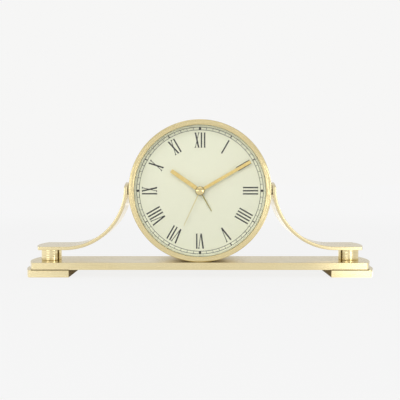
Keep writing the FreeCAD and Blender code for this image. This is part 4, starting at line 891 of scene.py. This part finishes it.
def flat_blocks(corners: np.ndarray, front: np.ndarray | float, back: float) -> Mesh:
    """Thin blocks that stand on the dial.

    Args:
        corners: (blocks, points, 2) outlines as (x, height over the axis), anticlockwise from the front.
        front: Y of their faces, one for all or one each.
        back: Y of their backs.

    Returns:
        Points and faces; each block has a face, a back and a wall.
    """
    blocks, points, _ = corners.shape
    ends = np.stack([np.broadcast_to(front, blocks), np.broadcast_to(back, blocks)], -1)
    level = np.broadcast_to(ends[:, :, None, None], (blocks, 2, points, 1))
    outline = np.broadcast_to(corners[:, None], (blocks, 2, points, 2))
    found = np.concatenate([outline[..., :1], level, outline[..., 1:] + AXIS_HEIGHT], -1).reshape(-1, 3)
    first = (np.arange(blocks) * 2 * points)[:, None]
    step = np.arange(points)
    face = first + step
    rear = first + points + step[::-1]
    after = (step + 1) % points
    wall = np.stack([first + after, first + step, first + points + step, first + points + after], -1)
    return found, [*face.tolist(), *rear.tolist(), *wall.reshape(-1, 4).tolist()]


def welded(mesh: bpy.types.Mesh, sharp_angle: float) -> None:
    """Close a mesh's seams and poles, turn its faces outwards and shade it smooth.

    Args:
        mesh: the mesh to mend.
        sharp_angle: edges that turn more than this many degrees stay sharp.
    """
    work = bmesh.new()
    work.from_mesh(mesh)
    bmesh.ops.remove_doubles(work, verts=work.verts, dist=WELD)
    bmesh.ops.dissolve_degenerate(work, edges=work.edges, dist=WELD / 2)
    bmesh.ops.recalc_face_normals(work, faces=work.faces)
    work.to_mesh(mesh)
    work.free()
    mesh.shade_smooth()
    mesh.set_sharp_from_angle(angle=math.radians(sharp_angle))


def add_piece(name: str, shape: Sequence[Patch] | Mesh, finish: Finish, body: str,
              replaces: Iterable[str] = (), sharp_angle: float = 35.0) -> None:
    """Make one visible piece.

    Args:
        name: the piece's name.
        shape: its patches, or its points and faces, in millimetres.
        finish: its finish.
        body: the moving body that it belongs to.
        replaces: construction nodes that it stands for.
        sharp_angle: edges that turn more than this many degrees stay sharp.
    """
    mesh = bpy.data.meshes.new(name)
    if isinstance(shape, tuple):
        points, faces = shape
        mesh.from_pydata((points * MM).tolist(), [], faces)
    else:
        stacks, quads, charts, start = [], [], [], 0
        for patch in shape:
            rows, columns, _ = patch.points.shape
            number = np.arange(rows * columns).reshape(rows, columns) + start
            quads.append(np.stack([number[:-1, :-1], number[1:, :-1], number[1:, 1:], number[:-1, 1:]], -1))
            stacks.append(patch.points.reshape(-1, 3))
            chart = patch.chart if patch.chart is not None else np.zeros((rows, columns, 2))
            charts.append(chart.reshape(-1, 2))
            start += rows * columns
        faces = np.concatenate([quad.reshape(-1, 4) for quad in quads])
        mesh.from_pydata((np.concatenate(stacks) * MM).tolist(), [], faces.tolist())
        layer = mesh.uv_layers.new(name="chart")
        layer.uv.foreach_set("vector", np.concatenate(charts)[faces.ravel()].astype(np.float32).ravel())
    welded(mesh, sharp_angle)
    piece = bpy.data.objects.new(name, mesh)
    bpy.context.scene.collection.objects.link(piece)
    mesh.materials.append(finish.material())
    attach(piece, body)
    nodes = tuple(replaces)
    if nodes:
        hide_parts(*nodes)
    LOG.info("%s: %d faces in %s", name, len(mesh.polygons), finish.title)


def dress(node: str, finish: Finish) -> None:
    """Give a construction node a finish in all of its material slots.

    Args:
        node: the node's name.
        finish: its finish.
    """
    for place in frame["nodes"][node].material_slots:
        place.material = finish.material()
    LOG.info("%s: construction mesh in %s", node, finish.title)


# The clock's sub-assemblies


@dataclass
class Foot:
    """A foot under each end of the base, with a bowed outer end."""

    reach: float = 157.5
    inner_end: float = 116.2
    half_depth: float = 26.0
    bow_radius: float = 64.0
    bottom: float = 0.3
    top: float = 7.0
    corner: float = 2.0
    edge: float = 0.4
    edge_guard: float = 0.3
    wall_margin: float = 1.5

    def outline(self) -> np.ndarray:
        """Plan of the right foot: a rectangle with an arc for its outer end and more points on its inner end.

        Returns:
            The closed line, anticlockwise.
        """
        depth = np.linspace(-self.half_depth, self.half_depth, 25)
        bow = self.bow_radius - np.sqrt(self.bow_radius ** 2 - depth ** 2)
        rounding = np.zeros(depth.size)
        rounding[[0, -1]] = self.corner
        outer = np.stack([self.reach - bow, depth, rounding], -1)
        soft = self.edge + 0.05
        inner = [(self.inner_end, self.half_depth, soft), (self.inner_end, -self.half_depth, soft)]
        line = rounded([*map(tuple, outer), *inner], 6)
        first, last = np.flatnonzero(np.abs(line[:, 0] - self.inner_end) < 1e-6)[[0, -1]]
        across = np.linspace(self.half_depth - self.wall_margin, self.wall_margin - self.half_depth, 12)
        wall = np.stack([np.full(across.size, self.inner_end), across], -1)
        return np.concatenate([line[:first + 2], wall, line[last - 1:]])

    def build(self) -> None:
        """Skin one foot for each side; its profile is a straight wall with both edges rounded."""
        turn = np.linspace(0.0, math.pi / 2, 5)
        low = np.stack([self.edge * (1 - np.sin(turn)), self.bottom + self.edge * (1 - np.cos(turn))], -1)
        high = np.stack([self.edge * (1 - np.cos(turn)), self.top - self.edge * (1 - np.sin(turn))], -1)
        guard = self.edge + self.edge_guard
        profile = np.vstack([[guard, self.bottom], low, [0.0, self.bottom + guard], [0.0, self.top - guard],
                             high, [guard, self.top]])
        for side, sign in SIDES:
            patch = slab(self.outline(), profile)
            patch.points[..., 0] *= sign
            add_piece(f"{side}_foot_formed", [patch], BAR_BRASS, "clock", [f"{side}_foot"])


@dataclass
class Post:
    """A short polished post that carries the outer end of a strap."""

    across: float = 136.6
    radius: float = 9.2
    bottom: float = 13.4
    top: float = 24.2
    rounding: float = 0.35

    def build(self) -> None:
        """Turn one post for each side; a post is a rectangle with rounded edges carried round its axis."""
        profile = rounded([(0.0, self.bottom, 0.0), (self.radius, self.bottom, self.rounding),
                           (self.radius, self.top, self.rounding), (0.0, self.top, 0.0)], closed=False)
        for side, sign in SIDES:
            patch = turned(profile, 96, "z", (sign * self.across, 0.0))
            add_piece(f"{side}_post_turned", [patch], POST_BRASS, "clock", [f"{side}_post"])


@dataclass
class Strap:
    """A flat strip that lies on its post, bends through a quarter circle and stands beside the drum."""

    end: float = 148.25
    middle_level: float = 25.7
    bend_across: float = 120.7
    bend_height: float = 80.4
    top: float = 84.5
    thickness: float = 3.0
    half_depth: float = 22.0
    bow_radius: float = 60.0
    bow_fade: float = 16.0
    rounding: float = 0.4

    def place(self, along: np.ndarray, up: np.ndarray) -> tuple[np.ndarray, np.ndarray]:
        """Put strip coordinates on the bent path.

        Level inwards, then an arc whose radius is the bend's less the height over the middle line, then
        straight up.

        Args:
            along: distance from the outer end along the middle line.
            up: height over the middle line, positive towards the bend's centre.

        Returns:
            Distance from the clock's middle, and height.
        """
        flat = self.end - self.bend_across
        radius = self.bend_height - self.middle_level
        turn = np.clip((along - flat) / radius, 0.0, math.pi / 2)
        rest = np.clip(along - flat - radius * math.pi / 2, 0.0, None)
        out = self.bend_across + np.clip(flat - along, 0.0, None)
        return out - (radius - up) * np.sin(turn), self.bend_height - (radius - up) * np.cos(turn) + rest

    def build(self) -> None:
        """Skin one strap for each side; the ends are bowed by moving each ring by the bow's depth."""
        flat = self.end - self.bend_across
        arc = (self.bend_height - self.middle_level) * math.pi / 2
        length = flat + arc + self.top - self.bend_height
        stations = np.concatenate([np.arange(0.0, flat, 3.0), np.linspace(flat, flat + arc, 73),
                                   np.linspace(flat + arc, length, 5)[1:]])
        along, across, up = strip_rings(stations, self.half_depth, self.thickness / 2, self.rounding)
        bow = self.bow_radius - np.sqrt(self.bow_radius ** 2 - across ** 2)
        from_start = np.clip(1 - along / self.bow_fade, 0.0, 1.0)
        from_end = np.clip(1 - (length - along) / self.bow_fade, 0.0, 1.0)
        along = along + bow * (from_start - from_end)
        out, height = self.place(along, up)
        chart = np.stack([along, across], -1) * MM
        for side, sign in SIDES:
            patch = Patch(np.stack([sign * out, across, height], -1), chart)
            add_piece(f"{side}_strap", [patch], STRAP_BRASS, "clock", [f"{side}_arm"])


@dataclass
class Drum:
    """The drum: its shell, the bezel and the tapered ring inside the bezel."""

    radius: float = 63.5
    bore: float = 61.5
    front: float = -19.45
    rear: float = 21.5
    bead: float = 60.3
    bead_front: float = -9.7
    bead_rear: float = -8.5
    bezel_front: float = -22.45
    bezel_back: float = -19.48
    opening: float = 58.8
    spigot_radius: float = 61.47
    spigot_bore: float = 60.25
    spigot_back: float = -12.0
    lip_back: float = -21.45
    ring_radius: float = 60.22
    ring_front: float = -19.95
    ring_back: float = -12.5
    ring_taper: float = 0.7

    def build(self) -> None:
        """Turn the three rings: each is a closed profile of radius and depth, carried round its axis."""
        shell = rounded([(self.radius, self.front, 0.15), (self.radius, self.rear, 0.5),
                         (self.bore, self.rear, 0.3), (self.bore, self.bead_rear, 0.0),
                         (self.bead, self.bead_rear, 0.2), (self.bead, self.bead_front, 0.2),
                         (self.bore, self.bead_front, 0.0), (self.bore, self.front, 0.0)])
        add_piece("drum_turned", [turned(shell, 256)], DRUM_BRASS, "clock", ["drum_shell"])
        spigot = self.spigot_radius
        bezel = rounded([(self.opening, self.lip_back, 0.0), (self.opening, self.bezel_front, 0.4),
                         (self.radius, self.bezel_front, 0.7), (self.radius, self.bezel_back, 0.1),
                         (spigot, self.bezel_back, 0.0), (spigot, self.spigot_back, 0.1),
                         (self.spigot_bore, self.spigot_back, 0.1), (self.spigot_bore, self.lip_back, 0.0)])
        add_piece("bezel_turned", [turned(bezel, 256)], BEZEL_BRASS, "clock", ["bezel"])
        ring = rounded([(self.opening, self.ring_front, 0.0), (self.ring_radius, self.ring_front, 0.0),
                        (self.ring_radius, self.ring_back, 0.0),
                        (self.opening - self.ring_taper, self.ring_back, 0.0)])
        add_piece("inner_ring_turned", [turned(ring, 256)], RING_ENAMEL, "clock", ["dial_ring"])


class Numeral(Enum):
    """The twelve hour numerals, in order from one."""

    ONE = "I"
    TWO = "II"
    THREE = "III"
    FOUR = "IIII"
    FIVE = "V"
    SIX = "VI"
    SEVEN = "VII"
    EIGHT = "VIII"
    NINE = "IX"
    TEN = "X"
    ELEVEN = "XI"
    TWELVE = "XII"


@dataclass
class Dial:
    """The printing on the dial: two thin circles with ticks between, four dots and the hour numerals."""

    face: float = -12.5
    ink: float = 0.03
    track_inner: float = 54.65
    track_outer: float = 57.1
    line: float = 0.42
    tick: float = 0.36
    hour_tick: float = 0.9
    dot_length: float = 2.9
    dot_width: float = 2.2
    numeral_inner: float = 38.7
    numeral_outer: float = 52.3
    thick: float = 1.25
    thin: float = 0.62
    bar_pitch: float = 2.85
    cross_span: float = 2.95
    vee_span: float = 4.0
    cross_gap: float = 2.5
    vee_gap: float = 1.85
    vee_feet: Pair = (-0.05, 0.2)
    slant_share: float = 1.1
    serif: float = 0.78
    serif_height: float = 0.24
    wedge_share: float = 0.85
    wedge_height: float = 0.6
    tick_ink: float = 0.8
    dot_ink: float = 1.3
    stroke_ink: float = 0.2
    oval_points: int = 32

    @staticmethod
    def trapezes(low: tuple[np.ndarray, ...], high: tuple[np.ndarray, ...]) -> np.ndarray:
        """Join level sides in pairs.

        Args:
            low: middles, heights and half widths of the lower sides.
            high: the same of the upper sides.

        Returns:
            Their corners, (trapezes, 4, 2), anticlockwise.
        """
        (foot, bottom, half_foot), (head, top, half_head) = low, high
        across = np.stack([foot - half_foot, foot + half_foot, head + half_head, head - half_head], 1)
        return np.stack([across, np.stack([bottom, bottom, top, top], 1)], -1)

    def strokes(self, numeral: Numeral) -> np.ndarray:
        """Outlines of one numeral, upright about the origin.

        A stroke is a four-sided figure between its foot and its head, cut level at both. Each free end has
        a serif: a thin level bar with a small wedge between it and the stroke.

        Args:
            numeral: the numeral to draw.

        Returns:
            Its four-cornered outlines, (strokes, 4, 2), anticlockwise.
        """
        half = (self.numeral_outer - self.numeral_inner) / 2
        rows: list[tuple[float, float, float]] = []
        ends: list[tuple[float, float]] = []
        pen = 0.0
        for letter in numeral.value:
            if letter == "I":
                rows.append((pen, pen, self.thick))
                ends += [(pen, 1.0), (pen, -1.0)]
                pen += self.bar_pitch
                continue
            vee = letter == "V"
            gap = self.vee_gap if vee else self.cross_gap
            left = pen - self.bar_pitch + gap if rows else pen
            right = left + (self.vee_span if vee else self.cross_span)
            middle = (left + right) / 2
            feet = [middle + shift for shift in self.vee_feet] if vee else [right, left]
            rows += [(feet[0], left, self.thick * self.slant_share), (feet[1], right, self.thin)]
            ends += [(left, 1.0), (right, 1.0)]
            if not vee:
                ends += [(left, -1.0), (right, -1.0)]
            pen = right + gap
        foot, head, width = np.array(rows).T
        level = np.full(foot.shape, half)
        quads = [self.trapezes((foot, -level, width / 2), (head, level, width / 2))]
        place, sign = np.array(ends).T
        for wide_out, wide_in, start, depth in (
                (self.serif, self.serif, 0.0, self.serif_height),
                (self.serif * self.wedge_share, self.thick / 2, self.serif_height, self.wedge_height)):
            outer, inner = sign * (half - start), sign * (half - start - depth)
            block = self.trapezes((place, inner, wide_in), (place, outer, wide_out))
            quads.append(np.where(sign[:, None, None] > 0, block, block[:, ::-1]))
        found = np.concatenate(quads)
        found[..., 0] -= (found[..., 0].min() + found[..., 0].max()) / 2
        return found

    @staticmethod
    def spread(outlines: np.ndarray, angle: np.ndarray, radius: float) -> np.ndarray:
        """Set upright outlines on the dial with their feet towards its centre.

        Args:
            outlines: (outlines, points, 2), as across and outwards.
            angle: clockwise angle from twelve of each outline, in radians.
            radius: distance of their origin from the centre.

        Returns:
            The outlines as x and height over the axis.
        """
        sine, cosine = np.sin(angle)[:, None], np.cos(angle)[:, None]
        across, out = outlines[..., 0], outlines[..., 1] + radius
        return np.stack([out * sine + across * cosine, out * cosine - across * sine], -1)

    @staticmethod
    def box(width: float, inner: float, outer: float) -> np.ndarray:
        """A rectangle between two radii, as across and outwards from the centre."""
        side = width / 2
        return np.array([[-side, inner], [side, inner], [side, outer], [-side, outer]])

    def circle(self, radius: float) -> Patch:
        """A printed circle: a small rectangle carried round the dial's axis.

        Args:
            radius: the circle's radius.

        Returns:
            Its skin.
        """
        low, high = radius - self.line / 2, radius + self.line / 2
        front = self.face - self.ink
        return turned(np.array([[low, self.face], [low, front], [high, front], [high, self.face],
                                [low, self.face]]), 256)

    def build(self) -> None:
        """Print the track, its ticks and dots, and the numerals."""
        for name, radius in (("inner", self.track_inner), ("outer", self.track_outer)):
            add_piece(f"track_circle_{name}", [self.circle(radius)], INK, "clock")
        minutes = np.arange(60)
        hours = minutes % 5 == 0
        angle = minutes * math.tau / 60
        width = np.where(hours, self.hour_tick, self.tick)
        ticks = np.stack([self.box(value, self.track_inner, self.track_outer) for value in width])
        blocks = flat_blocks(self.spread(ticks, angle, 0.0), self.face - self.ink * self.tick_ink, self.face)
        add_piece("minute_ticks", blocks, INK, "clock")
        turn = np.linspace(0, math.tau, self.oval_points, endpoint=False)
        oval = np.stack([np.cos(turn) * self.dot_width / 2, np.sin(turn) * self.dot_length / 2], -1)
        quarter = np.arange(4) * math.pi / 2
        middle = (self.track_inner + self.track_outer) / 2
        ovals = self.spread(np.broadcast_to(oval, (4, *oval.shape)), quarter, middle)
        dots = flat_blocks(ovals, self.face - self.ink * self.dot_ink, self.face)
        add_piece("quarter_dots", dots, INK, "clock")
        radius = (self.numeral_inner + self.numeral_outer) / 2
        for hour, numeral in enumerate(Numeral, 1):
            outlines = self.strokes(numeral)
            angle = np.full(len(outlines), hour * math.tau / 12)
            front = self.face - self.ink * (1 + self.stroke_ink * np.arange(len(outlines)))
            strokes = flat_blocks(self.spread(outlines, angle, radius), front, self.face)
            add_piece(f"numeral_{hour}", strokes, INK, "clock")


@dataclass
class Hand:
    """A hand: a flat strip on an annular boss."""

    name: str
    angle: float
    front: float
    thickness: float
    length: float
    root_width: float
    tip_width: float
    tip_rounding: float
    bore: float
    finish: Finish
    slot: str
    boss: float = 3.9
    rounding: float = 0.09
    proud: float = 0.02
    root_gap: float = 0.4

    def strip(self, start: float) -> Patch:
        """Skin of the strip, turned to the hand's angle.

        Its width runs evenly from root to tip, and the tip's corners are quarter circles.

        Args:
            start: radius at which the strip begins.

        Returns:
            The closed skin.
        """
        length = self.length - start
        near = self.length - start - self.tip_rounding * np.array([1.0, 0.8, 0.6, 0.45, 0.3, 0.18, 0.08, 0.0])
        stations = np.concatenate([np.linspace(0.0, length - self.tip_rounding * 1.2, 12), near])
        taper = np.interp(stations, [0.0, length], [self.root_width / 2, self.tip_width / 2])
        over = np.clip(stations - length + self.tip_rounding, 0.0, None)
        taper = taper - self.tip_rounding + np.sqrt(np.clip(self.tip_rounding ** 2 - over ** 2, 0.0, None))
        along, across, up = strip_rings(stations, taper, self.thickness / 2, self.rounding)
        out = along + start
        turn = math.radians(self.angle)
        x = out * math.sin(turn) + across * math.cos(turn)
        z = AXIS_HEIGHT + out * math.cos(turn) - across * math.sin(turn)
        chart = np.stack([out, across], -1) * MM
        return Patch(np.stack([x, self.front + self.thickness / 2 - up, z], -1), chart)

    def build(self) -> None:
        """Build the strip and the boss, which stands a hair proud of it."""
        face, back = self.front - self.proud, self.front + self.thickness
        boss = rounded([(self.bore, back, 0.05), (self.boss, back, 0.05), (self.boss, face, 0.1),
                        (self.bore, face, 0.05)], 4, 0.04)
        patches = [self.strip(self.bore + self.root_gap), turned(boss, 64)]
        add_piece(f"{self.name}_formed", patches, self.finish, self.name, [self.name])


@dataclass
class SecondHand:
    """The thin second hand and the polished domed cap that carries it."""

    angle: float = 205.0
    front: float = -17.95
    thickness: float = 0.25
    length: float = 34.5
    cap_radius: float = 4.25
    cap_front: float = -19.5
    cap_edge: float = 0.5
    strip_start: float = 3.2

    def build(self) -> None:
        """The cap's profile is an arc from its rim to its middle, closed by its edge and its flat back."""
        hand = Hand("second_hand", angle=self.angle, front=self.front, thickness=self.thickness,
                    length=self.length, root_width=0.75, tip_width=0.45, tip_rounding=0.2, bore=0.0,
                    finish=PALE_GILT, slot="polished_brass", rounding=0.08)
        add_piece("second_hand_formed", [hand.strip(self.strip_start)], hand.finish, hand.name, [hand.name])
        rim = self.front - self.cap_edge
        rise = rim - self.cap_front
        bend = (self.cap_radius ** 2 + rise ** 2) / (2 * rise)
        radius = np.linspace(0.0, self.cap_radius, 16)
        dome = np.stack([radius, self.cap_front + bend - np.sqrt(bend ** 2 - radius ** 2)], -1)
        back = self.front + self.thickness + 0.01
        edge = np.array([[self.cap_radius, rim + 0.1], [self.cap_radius, back - 0.1], [self.cap_radius, back],
                         [self.cap_radius - 0.1, back], [0.0, back]])
        add_piece("hub_cap", [turned(np.vstack([dome, edge]), 96)], CAP_BRASS, "second_hand", ["second_hand"],
                  50.0)


@dataclass(frozen=True)
class SoftBox:
    """A soft box: its middle and aim, its width and height, its watts, and what it lights.

    A mirrored one shows in shiny surfaces alone, and any other lights matt ones alone.
    """

    name: str
    place: Place
    aim: Place
    size: Pair
    power: float
    mirrored: bool

    def hang(self) -> None:
        """Add the lamp; its pitch and heading are the angles of the line from its middle to its aim."""
        light = bpy.data.lights.new(self.name, "AREA")
        light.shape = "RECTANGLE"
        light.size, light.size_y = self.size[0] * MM, self.size[1] * MM
        light.energy = self.power
        lamp = bpy.data.objects.new(self.name, light)
        lamp.visible_glossy = self.mirrored
        lamp.visible_diffuse = not self.mirrored
        lamp.visible_camera = False
        bpy.context.scene.collection.objects.link(lamp)
        start = np.array(self.place) * MM
        look = np.array(self.aim) * MM - start
        flat = math.hypot(look[0], look[1])
        lamp.location = start
        lamp.rotation_euler = (math.pi / 2 + math.atan2(look[2], flat), 0.0, math.atan2(-look[0], look[1]))


@dataclass
class Studio:
    """Pale floor, soft light from all round and the camera of the picture.

    A span is two azimuths and the softness of their ends, in degrees. A rise, fall, foot or head is the
    two values between which that happens.
    """

    camera_place: Place = (0.0, -649.0, 91.1)
    pitch: float = 2.03
    lens: float = 63.6
    clip_end: float = 20000.0
    backdrop: float = 0.922
    backdrop_tint: Colour = (1.0, 0.998, 0.992)
    fill: float = 0.8
    wall: float = 0.66
    strip: float = 0.3
    strip_span: Span = (-11.0, 11.0, 4.0)
    right_box: float = 1.1
    right_span: Span = (12.0, 48.0, 2.5)
    left_box: float = 2.9
    left_span: Span = (15.0, 48.0, 3.0)
    box_foot: Pair = (-0.34, -0.22)
    box_head: Pair = (0.02, 0.16)
    ceiling: float = 0.5
    ceiling_span: Span = (-24.0, 24.0, 8.0)
    ceiling_rise: Pair = (0.35, 0.6)
    back: float = 0.07
    back_rise: Pair = (-0.1, 0.5)
    floor_reach: float = 6000.0
    floor_white: float = 0.8
    paper: float = 0.85
    even_share: float = 0.9
    shadow_reach: float = 1200.0
    shadow_fade: float = 0.3
    pool_root: float = 600.0
    right_pool: float = 0.95
    right_pool_rise: Pair = (0.15, 0.235)
    right_pool_fall: Pair = (0.275, 0.31)
    left_pool: float = 0.2
    left_pool_rise: Pair = (0.15, 0.25)
    key_box: SoftBox = SoftBox("key_box", place=(-250.0, -1200.0, 600.0), aim=(0.0, 0.0, 60.0),
                               size=(1200.0, 1200.0), power=9.3, mirrored=False)
    strip_box: SoftBox = SoftBox("strip_box", place=(327.0, -538.0, 80.0), aim=(0.0, 0.0, 40.0),
                                 size=(80.0, 150.0), power=0.2, mirrored=True)

    @staticmethod
    def rays(shading: Shading) -> tuple[Signal, Signal]:
        """Tell where a ray comes from.

        Args:
            shading: the tree to build in.

        Returns:
            1 for a ray from the camera or through glass, and 1 for a ray off a shiny surface.
        """
        path = shading.node("ShaderNodeLightPath").socket.node.outputs
        seen = Signal(shading, path["Is Camera Ray"]) + Signal(shading, path["Is Transmission Ray"])
        return seen, Signal(shading, path["Is Glossy Ray"])

    def sky(self) -> None:
        """Light the world.

        The camera and clear glass see an even pale backdrop. Shiny surfaces see a studio: even walls, a
        lighter strip behind the camera, a wide soft box on each side of it and a pale ceiling over it, each
        a smooth rise and fall in azimuth and in height. Matt surfaces are lit by an even sky.
        """
        world = bpy.data.worlds.new("studio")
        bpy.context.scene.world = world
        world.use_nodes = True
        shading = Shading(world.node_tree)
        x, y, z = shading.split(shading.node("ShaderNodeTexCoord", output="Generated"))
        azimuth = shading.node("ShaderNodeMath", {"operation": "ARCTAN2"}, {0: x, 1: y * -1.0})
        level = shading.between(z, *self.box_foot) * (1.0 - shading.between(z, *self.box_head))

        def band(angle: Signal, span: Span) -> Signal:
            """Pick out a span of azimuths.

            Args:
                angle: the azimuth.
                span: the span's ends and their softness, in degrees.

            Returns:
                1 within the span, and 0 outside it.
            """
            low, high, edge = (math.radians(value) for value in span)
            rise = shading.between(angle, low - edge, low + edge)
            return rise * (1.0 - shading.between(angle, high - edge, high + edge))

        right = band(azimuth, self.right_span) * level * self.right_box
        left = band(azimuth * -1.0, self.left_span) * level * self.left_box
        strip = band(azimuth, self.strip_span) * level * self.strip
        above = shading.between(z, *self.ceiling_rise) * band(azimuth, self.ceiling_span) * self.ceiling
        back = shading.between(y, *self.back_rise) * self.back
        studio = right + left + strip + above + back + self.wall
        seen, glossy = self.rays(shading)
        light = seen * self.backdrop + glossy * studio + (1.0 - seen - glossy) * self.fill
        shading.finish(shading.node("ShaderNodeBackground", None, {
            "Color": (*self.backdrop_tint, 1.0), "Strength": light}), "ShaderNodeOutputWorld")

    def floor(self) -> None:
        """Lay the floor: part paper that takes the shadow, part even light like the backdrop's.

        Far from the clock it is all even light, so that it runs into the backdrop with no line between.
        Shiny surfaces see two brighter pools on it, under the soft boxes: each is a smooth band in the slope
        of the line from a point behind the clock.
        """
        corners = np.array([[-1, -1, 0], [1, -1, 0], [1, 1, 0], [-1, 1, 0]]) * self.floor_reach
        mesh = bpy.data.meshes.new("floor")
        mesh.from_pydata((corners * MM).tolist(), [], [[0, 1, 2, 3]])
        paper = bpy.data.materials.new("floor_paper")
        paper.use_nodes = True
        shading = Shading(paper.node_tree)
        seen, glossy = self.rays(shading)
        x, y, _ = shading.place()
        slope = x / (self.pool_root * MM - y)
        right = shading.between(slope, *self.right_pool_rise)
        right = right * (1.0 - shading.between(slope, *self.right_pool_fall))
        left = shading.between(slope * -1.0, *self.left_pool_rise)
        shine = right * self.right_pool + left * self.left_pool + self.paper
        even = shading.node("ShaderNodeEmission", None, {
            "Color": (1.0, 1.0, 1.0, 1.0), "Strength": seen * self.backdrop + glossy * shine})
        matt = shading.node("ShaderNodeBsdfDiffuse", None, {"Color": (*[self.floor_white] * 3, 1.0)})
        far = shading.between((x * x + y * y) ** 0.5, self.shadow_reach * self.shadow_fade * MM,
                              self.shadow_reach * MM)
        share = (seen + glossy) * (self.even_share + far * (1.0 - self.even_share))
        shading.finish(shading.node("ShaderNodeMixShader", None, {0: share, 1: matt, 2: even}))
        mesh.materials.append(paper)
        floor = bpy.data.objects.new("floor", mesh)
        bpy.context.scene.collection.objects.link(floor)

    def build(self) -> None:
        """Set up the world, floor, soft boxes and camera."""
        bpy.context.scene.view_settings.view_transform = "Standard"
        self.sky()
        self.floor()
        self.key_box.hang()
        self.strip_box.hang()
        camera = bpy.data.cameras.new("camera")
        camera.lens = self.lens
        camera.clip_end = self.clip_end * MM
        seat = bpy.data.objects.new("camera", camera)
        bpy.context.scene.collection.objects.link(seat)
        seat.location = np.array(self.camera_place) * MM
        seat.rotation_euler = (math.radians(90.0 - self.pitch), 0.0, 0.0)
        bpy.context.scene.camera = seat


@dataclass
class Clock:
    """The whole clock."""

    def dress_nodes(self) -> None:
        """Give every construction node the finish of its material slot."""
        for part in frame["record"]["subparts"]:
            dress(part["node"], SLOT_FINISHES[part["material_slot"]])

    def build(self) -> None:
        """Dress the nodes, then build each sub-assembly's own pieces."""
        self.dress_nodes()
        Foot().build()
        Post().build()
        Strap().build()
        Drum().build()
        Dial().build()
        Hand("alarm_hand", angle=150.5, front=-15.4, thickness=0.3, length=21.2, root_width=1.15,
             tip_width=0.8, tip_rounding=0.2, bore=2.68, finish=OLIVE_GILT, slot="pale_hand").build()
        Hand("hour_hand", angle=304.9, front=-16.2, thickness=0.4, length=31.5, root_width=3.6,
             tip_width=3.6, tip_rounding=0.7, bore=2.03, finish=GILT, slot="gold_hand").build()
        Hand("minute_hand", angle=60.0, front=-17.2, thickness=0.4, length=52.2, root_width=2.85,
             tip_width=2.85, tip_rounding=0.7, bore=1.38, finish=GILT, slot="gold_hand").build()
        SecondHand().build()


def main() -> None:
    """Build the clock and its studio."""
    logging.basicConfig(level=logging.INFO, format="%(message)s")
    Clock().build()
    Studio().build()


if __name__ == "__main__":
    main()
